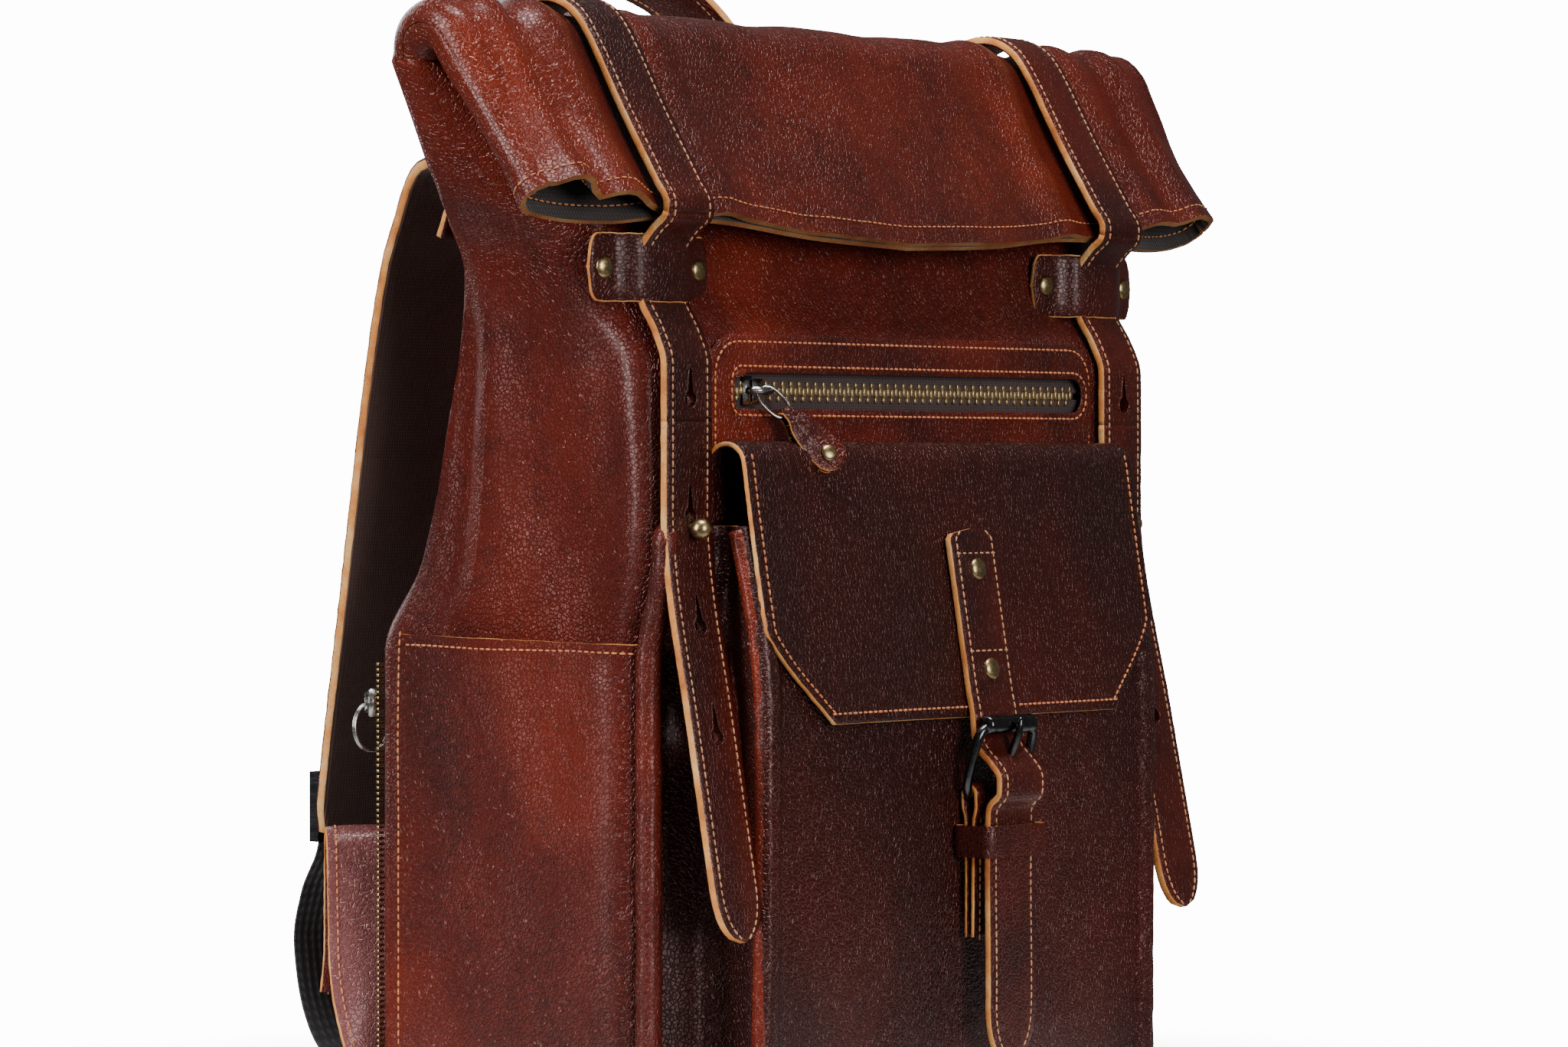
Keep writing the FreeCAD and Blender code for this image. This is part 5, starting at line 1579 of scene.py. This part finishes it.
bend(close_sewn, *CLOSE_BEND, "thread_light")
tab_spots = [((CLOSE_X, flap_depth(z) - 3.6 - CLOSE_THICK / 2 - 0.1, z),
              (0, -1, 0.17)) for z in (239.5, 198.5)]
settle(set_in("flap_tab_rivets", tab_spots, dome, FINISH["antique_brass"]), "flap", "antique_brass",
       "flap_rivets")

chape_back = [(-123.0, 89), (-123.0, 118), (-122.8, 137), (-121.4, 142), (-121.2, 148.4), (-124.4, 151.0)]
chape_front = [(-127.8, 148.4), (-127.9, 142), (-126.6, 136), (-126.4, 112), (-126.2, 89)]
chape_line = line_through([(CLOSE_X, y, z) for y, z in chape_back + chape_front], 1.6)
chape = band("buckle_chape_fold", chape_line, CLOSE_HALF - 0.5, 2.4, STRAP_HIDE, side=(1, 0, 0), seam=3.0)
chape_out = rows_beside(chape_line, CLOSE_HALF - 0.5, 2.4, inset=3.2, first=int(len(chape_line) * 0.62))
settle(chape, "closure", "leather_strap", "buckle_chape")
stitch("chape_stitches", chape_out, "light", "closure", pitch=3.3, length=2.7, thick=0.43)
print("closure strap", round(2 * CLOSE_HALF), "mm wide")

# %% [markdown]
# The buckle is a bent wire frame with a roller along its top, so that the strap slides through without
# wear. The prong turns on the lower bar and lies on the roller. The loop below is a sewn ring of leather.

# %% Roller buckle and strap loop
ROLLER_LOW, ROLLER_HIGH = span("buckle_roller")
ROLLER = (ROLLER_LOW + ROLLER_HIGH) / 2
rise = unit(ROLLER - BAR)
frame_wire = wire("buckle_frame_wire",
                  oval((BAR + ROLLER) / 2, rise, np.array((1.0, 0, 0)), np.linalg.norm(ROLLER - BAR) / 2,
                       18.6, count=64, square=4.5),
                  2.15, FINISH["buckle_metal"], closed=True, sides=14)
settle(frame_wire, "closure", "buckle_metal", "buckle_frame")
ROLLER_RADIUS = (ROLLER_HIGH[2] - ROLLER_LOW[2]) / 2
roller_xs = np.linspace(ROLLER_LOW[0] + 0.4, ROLLER_HIGH[0] - 0.4, 24)
tube = np.array([(x, ROLLER[1], ROLLER[2]) for x in roller_xs])
share = np.linspace(-1, 1, 24)
barrel = ROLLER_RADIUS * glide(share, [-1, -0.94, -0.88, 0.88, 0.94, 1], [0.82, 0.96, 1, 1, 0.96, 0.82])
barrel = barrel - 0.35 * (hill(share, -0.72, 0.05) + hill(share, 0.72, 0.05))
settle(wire("buckle_roller_tube", tube, barrel, FINISH["buckle_metal"], sides=28), "roller", "buckle_metal",
       "buckle_roller")
prong_line = line_through([BAR + (0, -3.0, 1.6), BAR + (0, -4.0, 4.5), BAR + (0, -9.0, 15),
                           BAR + (0, -14.8, 28.5), BAR + (0, -15.6, 33)], 1.4)
prong = wire("buckle_prong_wire", prong_line,
             glide(np.linspace(0, 1, len(prong_line)), [0, 0.2, 0.9, 1], [2.0, 1.9, 1.5, 0.7]),
             FINISH["buckle_metal"], sides=12)
eye = wire("buckle_prong_eye",
           oval(BAR, np.array((0, 0, 1.0)), np.array((0, 1.0, 0)), 3.7, 3.7, count=24, square=2.0), 1.25,
           FINISH["buckle_metal"], closed=True, sides=10)
settle(prong, "prong", "buckle_metal", "buckle_prong")
settle(eye, "prong", "buckle_metal")

LOOP_LOW, LOOP_HIGH = span("strap_loop")
loop_outline = rounded_box(LOOP_LOW[0] + 0.5, LOOP_HIGH[0] - 0.5, LOOP_LOW[1] - 2.3, LOOP_HIGH[1],
                           (3.5, 3.5, 4.5, 4.5), 90)
loop_rows = []
for z in np.linspace(LOOP_LOW[2], LOOP_HIGH[2], 8):
    bow = 0.5 * (1 - ((z - LOOP_LOW[2]) / (LOOP_HIGH[2] - LOOP_LOW[2]) * 2 - 1) ** 2)
    centre = loop_outline.mean(axis=0)
    wide = centre + (loop_outline - centre) * (1 + bow / 20)
    loop_rows.append(np.stack((wide[:, 0], wide[:, 1], np.full(len(wide), z)), axis=1))
strap_loop = skin("sewn_strap_loop", np.array(loop_rows), 2.0, unlined("strap"), closed=True)
settle(strap_loop, "loop", "leather_strap", "strap_loop")
print("buckle roller", round(2 * ROLLER_RADIUS, 1), "mm across")

# %% [markdown]
# The side pockets are patch pockets that follow the side of the body a few millimetres out, so they are
# drawn from the body's own grid. The top edge is left raw, gapes a little, and has a row of stitches below
# it.

# %% Side pockets
half_ring_count = TUBE.shape[1] // 2
front_corner, straight = FRONT_STEPS + 2, FRONT_STEPS + CORNER_STEPS
back_corner = straight + SIDE_STEPS
pocket_rows_in = np.flatnonzero((LENGTHS > 6) & (LENGTHS < 214))
side_columns = {"right": np.arange(front_corner, back_corner + 1),
                "left": np.arange(half_ring_count + straight,
                                  half_ring_count + back_corner + CORNER_STEPS - 1) % TUBE.shape[1]}
top_z = 212
for side, columns in side_columns.items():
    base_grid = TUBE[pocket_rows_in][:, columns]
    facing = TUBE_NORMALS[pocket_rows_in][:, columns]
    across_share = np.linspace(-1, 1, len(columns))[None, :]
    up = (base_grid[..., 2] / top_z).clip(0, 1)
    belly = (1 - across_share ** 4) * glide(up, [0, 0.06, 0.25, 0.7, 1.0], [0.0, 0.5, 1.0, 1.1, 0.9])
    slow, quick = 1.5 * wander(base_grid, 55, 51) * belly, 0.7 * wander(base_grid, 22, 52, (1, 1, 2)) * belly
    swell = 2.7 + 4.6 * belly + slow + quick
    grid = base_grid + facing * swell[..., None]
    grid[-1, :, 2] = top_z - 1.2 * np.linspace(-1, 1, len(columns)) + 0.5 * wander(grid[-1], 12, 53)
    pocket_piece = skin(f"{side}_side_pocket_sheet", grid, 2.2, lined("side"))
    settle(pocket_piece, "bag", "leather_side", f"{side}_side_pocket")
    normals = grid_normals(grid, closed=False)
    below = (grid[-1] * 0.35 + grid[-2] * 0.65) + normals[-1] * 0.15
    back_index = -2 if side == "right" else 1
    back_seam = grid[:, back_index] + normals[:, back_index] * 0.15
    stitch(f"{side}_pocket_stitches", [below[2:-2], back_seam], "orange", "bag", pitch=3.4, length=2.7,
           thick=0.46)
print("side pockets", top_z, "mm tall")

# %% [markdown]
# Shoulder straps: leather on the outside, dark cloth towards the wearer and foam between. Their edges are
# thin where they are sewn and their middles thick. Webbing runs from the adjuster at their ends down to the
# bag's foot, and a leather loop stands beside it at each lower corner.

# %% Shoulder straps
PAD_LOW, PAD_HIGH = span("left_shoulder_strap")
PAD_X, PAD_HALF = -(PAD_LOW[0] + PAD_HIGH[0]) / 2, (PAD_HIGH[0] - PAD_LOW[0]) / 2
pad_profile = [(37.4, 385), (43, 392), (52, 402.5), (60, 407.2), (68, 408.4), (76, 406.4), (82.5, 398),
               (88, 385), (95.5, 366), (107, 308), (119, 232), (132, 148), (135.2, 126)]
for side, sign in SIDES:
    line = line_through([(sign * PAD_X, y, z) for y, z in pad_profile], 4.0)
    line = line + wander(line, 60, 61)[:, None] * (0.8, 1.2, 0.6)
    half = PAD_HALF * glide(np.linspace(0, 1, len(line)), [0, 0.04, 0.96, 1], [0.97, 1, 1, 0.9])
    pad = band(f"{side}_shoulder_pad", line, half, 5.4,
               (FINISH["strap_lining"], FINISH["leather_edge"], FINISH["leather_strap"]),
               seam=5.0, crown=3.0, columns=uneven_steps(PAD_HALF, 5.0), rag=0.4)
    settle(pad, f"{side}_shoulder", "strap_lining", f"{side}_shoulder_strap")
    seams = rows_beside(line, half, 5.4, inset=5.0, lift=0.1, both_faces=True)
    stitch(f"{side}_shoulder_stitches", seams, "light", f"{side}_shoulder", pitch=4.2, length=3.2)
print("shoulder pads", round(2 * PAD_HALF), "mm wide")

# %% Webbing and lower loops
def twist(thing, centre, turn, heights):
    """Turns a finished mesh about an upright line, not at all at its foot and fully at its top."""
    for vertex in thing.data.vertices:
        x, y, z = vertex.co / MM
        angle = turn * float(glide(z, [0, *heights, 600], [0, 0.25, 1, 1]))
        dx, dy = x - centre[0], y - centre[1]
        vertex.co.x = (centre[0] + dx * math.cos(angle) - dy * math.sin(angle)) * MM
        vertex.co.y = (centre[1] + dx * math.sin(angle) + dy * math.cos(angle)) * MM


WEB_X = span("webbing_straps")[1][0] - 19
web_profile = [(144.2, 126), (146, 118), (155, 101), (160, 80), (157, 58), (147, 36), (132, 25), (116, 18.4),
               (99, 17.6), (82, 18)]
loop_profile = [(77.6, 30), (80, 55), (83.6, 84), (87.6, 108), (91.0, 119.5), (96, 127.4), (101.5, 129.6),
                (107, 127), (111.2, 119), (112.2, 100), (111.4, 61)]
LOOP_SPAN = span("lower_loops")
LOOP_X, LOOP_HALF = LOOP_SPAN[1][0] - 9, 20
for side, sign in SIDES:
    line = line_through([(sign * WEB_X, y, z) for y, z in web_profile], 2.6)
    web = band(f"{side}_webbing_band", line, 18.6, 1.9, (FINISH["webbing"],) * 3, seam=5, crown=0.05,
               rag=0.15)
    bend(web, ("bag", f"{side}_shoulder"), (0, 0, 24), (0, 0, 118), "webbing",
         *(["webbing_straps"] if sign < 0 else []))
    line = line_through([(sign * LOOP_X, y, z) for y, z in loop_profile], 2.4)
    # The loop's face wears the loop hide, whose pale pink tones are a painted sheen.
    loop = band(f"{side}_lower_loop", line, LOOP_HALF, 3.6,
                (FINISH["leather_loop"], FINISH["leather_edge"], FINISH["leather_side"]), side=(-1, 0, 0),
                seam=3.4, crown=0.5)
    ripple(loop, (0.4, 1, 0), 30, 0.7, 71)
    settle(loop, "bag", "leather_side", *(["lower_loops"] if sign < 0 else []))
    seams = rows_beside(line, LOOP_HALF, 3.6, inset=3.6, side=(-1, 0, 0), lift=0.45)
    rows = sew(f"{side}_lower_loop_stitches", seams, "orange", pitch=3.4, length=2.7, thick=0.43)
    ripple(rows, (0.4, 1, 0), 30, 0.7, 71)
    settle(rows, "bag", "thread_orange")
    for piece in (loop, rows):
        twist(piece, (sign * LOOP_X, 94), sign * math.radians(42), (20, 85))
print("webbing and loops")

# %% [markdown]
# At the back of the neck a stitched yoke carries the shoulder straps and the grab handle. The handle is a
# doubled strap in an arch that leans back; its feet are sewn under the yoke.

# %% Handle and yoke
HANDLE_RADIUS = span("grab_handle")[1][0] - 3
LEAN = math.radians(24)
lean_way, lean_side = np.array((0, math.sin(LEAN), math.cos(LEAN))), np.array((1.0, 0, 0))
handle_root = np.array((0, 34.0, 408.0))
arch = [(-HANDLE_RADIUS, h) for h in (0, 14, 30, 42)]
arch += [(-HANDLE_RADIUS * math.cos(a),
          44 + HANDLE_RADIUS * math.sin(a)) for a in np.radians(np.arange(10, 171, 10))]
arch += [(HANDLE_RADIUS, h) for h in (42, 30, 14, 0)]
handle_line = line_through([handle_root + lean_side * x + lean_way * h for x, h in arch], 3.0)
handle_facing = np.array((0, math.cos(LEAN), -math.sin(LEAN)))
handle_half = 15 * glide(np.linspace(0, 1, len(handle_line)), [0, 0.12, 0.35, 0.65, 0.88, 1],
                         [1, 1, 0.86, 0.86, 1, 1])
handle = band("grab_handle_strap", handle_line, handle_half, 5.4, STRAP_HIDE, side=-handle_facing, seam=3.4,
              crown=0.8)
settle(handle, "handle", "leather_strap", "grab_handle")
rows = rows_beside(handle_line, handle_half, 5.4, inset=3.4, side=-handle_facing, lift=0.5)
stitch("handle_stitches", rows, "light", "handle")

YOKE_LOW, YOKE_HIGH = span("back_yoke")
yoke_outline = rounded_box(YOKE_LOW[0], YOKE_HIGH[0], YOKE_LOW[2], YOKE_HIGH[2], (9, 9, 9, 9), 160)


def on_back(x, z, lift=0.0):
    return (x, float(glide(z, BACK_MARKS, BACK_DEPTHS)) + lift, z)


yoke_middle = yoke_outline.mean(axis=0)
yoke_grid = np.array([[on_back(x, z, lift) for x,
                       z in (yoke_middle + (yoke_outline[::-1] - yoke_middle) * share)]
                      for share, lift in ((0.02, 4.2), (0.4, 4.2), (0.85, 4.1), (0.97, 3.9), (1.0, 2.9))])
yoke = skin("back_yoke_patch", yoke_grid[::-1], 2.4, unlined("side"), closed=True)
settle(yoke, "bag", "leather_side", "back_yoke")
yoke_row = np.array([on_back(x, z, 4.3) for x,
                     z in (yoke_middle + (yoke_outline - yoke_middle) * (0.97, 0.78))])
stitch("yoke_stitches", [np.concatenate((yoke_row, yoke_row[:1]))], "orange", "bag", pitch=3.6)
print("handle", round(2 * HANDLE_RADIUS), "mm wide")

# %% Back zip and its ring
BACK_TEETH_LOW, BACK_TEETH_HIGH = span("back_zip_teeth")
back_x = (BACK_TEETH_LOW[0] + BACK_TEETH_HIGH[0]) / 2
back_tooth = tooth_part("back_tooth", 3.6, 1.7, 1.2)
back_line = np.linspace((back_x, BACK_TEETH_HIGH[1] - 0.6, BACK_TEETH_LOW[2]),
                        (back_x, BACK_TEETH_HIGH[1] - 0.6, BACK_TEETH_HIGH[2]), 20)
back_teeth = grow("back_zip_teeth_row", lines_mesh([back_line]), TREES["along"], Pitch=2.3 * MM,
                  Part=back_tooth, Finish=FINISH["antique_brass"])
settle(back_teeth, "bag", "zip_brass", "back_zip_teeth")
BACK_SLIDER = (span("back_zip_slider")[0] + span("back_zip_slider")[1]) / 2
BACK_PLATES = [
    ((78.4, 0), (9.5, 1.7, 11.5)),
    ((81.9, 3.6), (2.4, 5.6, 1.6)),
    ((81.9, -3.6), (2.4, 5.6, 1.6)),
    ((84.2, 0), (2.4, 1.4, 8.8)),
]
back_casting = lump("back_zip_casting",
                    [((back_x, y, BACK_SLIDER[2] + z), size) for (y, z), size in BACK_PLATES])
settle(back_casting, "back_slider", "slider_metal", "back_zip_slider")
RING_LOW, RING_HIGH = span("back_zip_ring")
ring_centre = (RING_LOW + RING_HIGH) / 2
coil = [ring_centre + (10 * math.sin(a), 1.15 * (a / (2 * math.pi) - 1) * 0.9,
                       10 * math.cos(a)) for a in np.linspace(0, 4 * math.pi, 96)]
settle(wire("back_key_ring", coil, 0.55, FINISH["slider_metal"], sides=8), "back_ring", "slider_metal",
       "back_zip_ring")
print("back zip", round(BACK_TEETH_HIGH[2] - BACK_TEETH_LOW[2]), "mm long")

# %% [markdown]
# The pattern parts have done their work, so they go.

for part in PATTERNS:
    bpy.data.objects.remove(part)
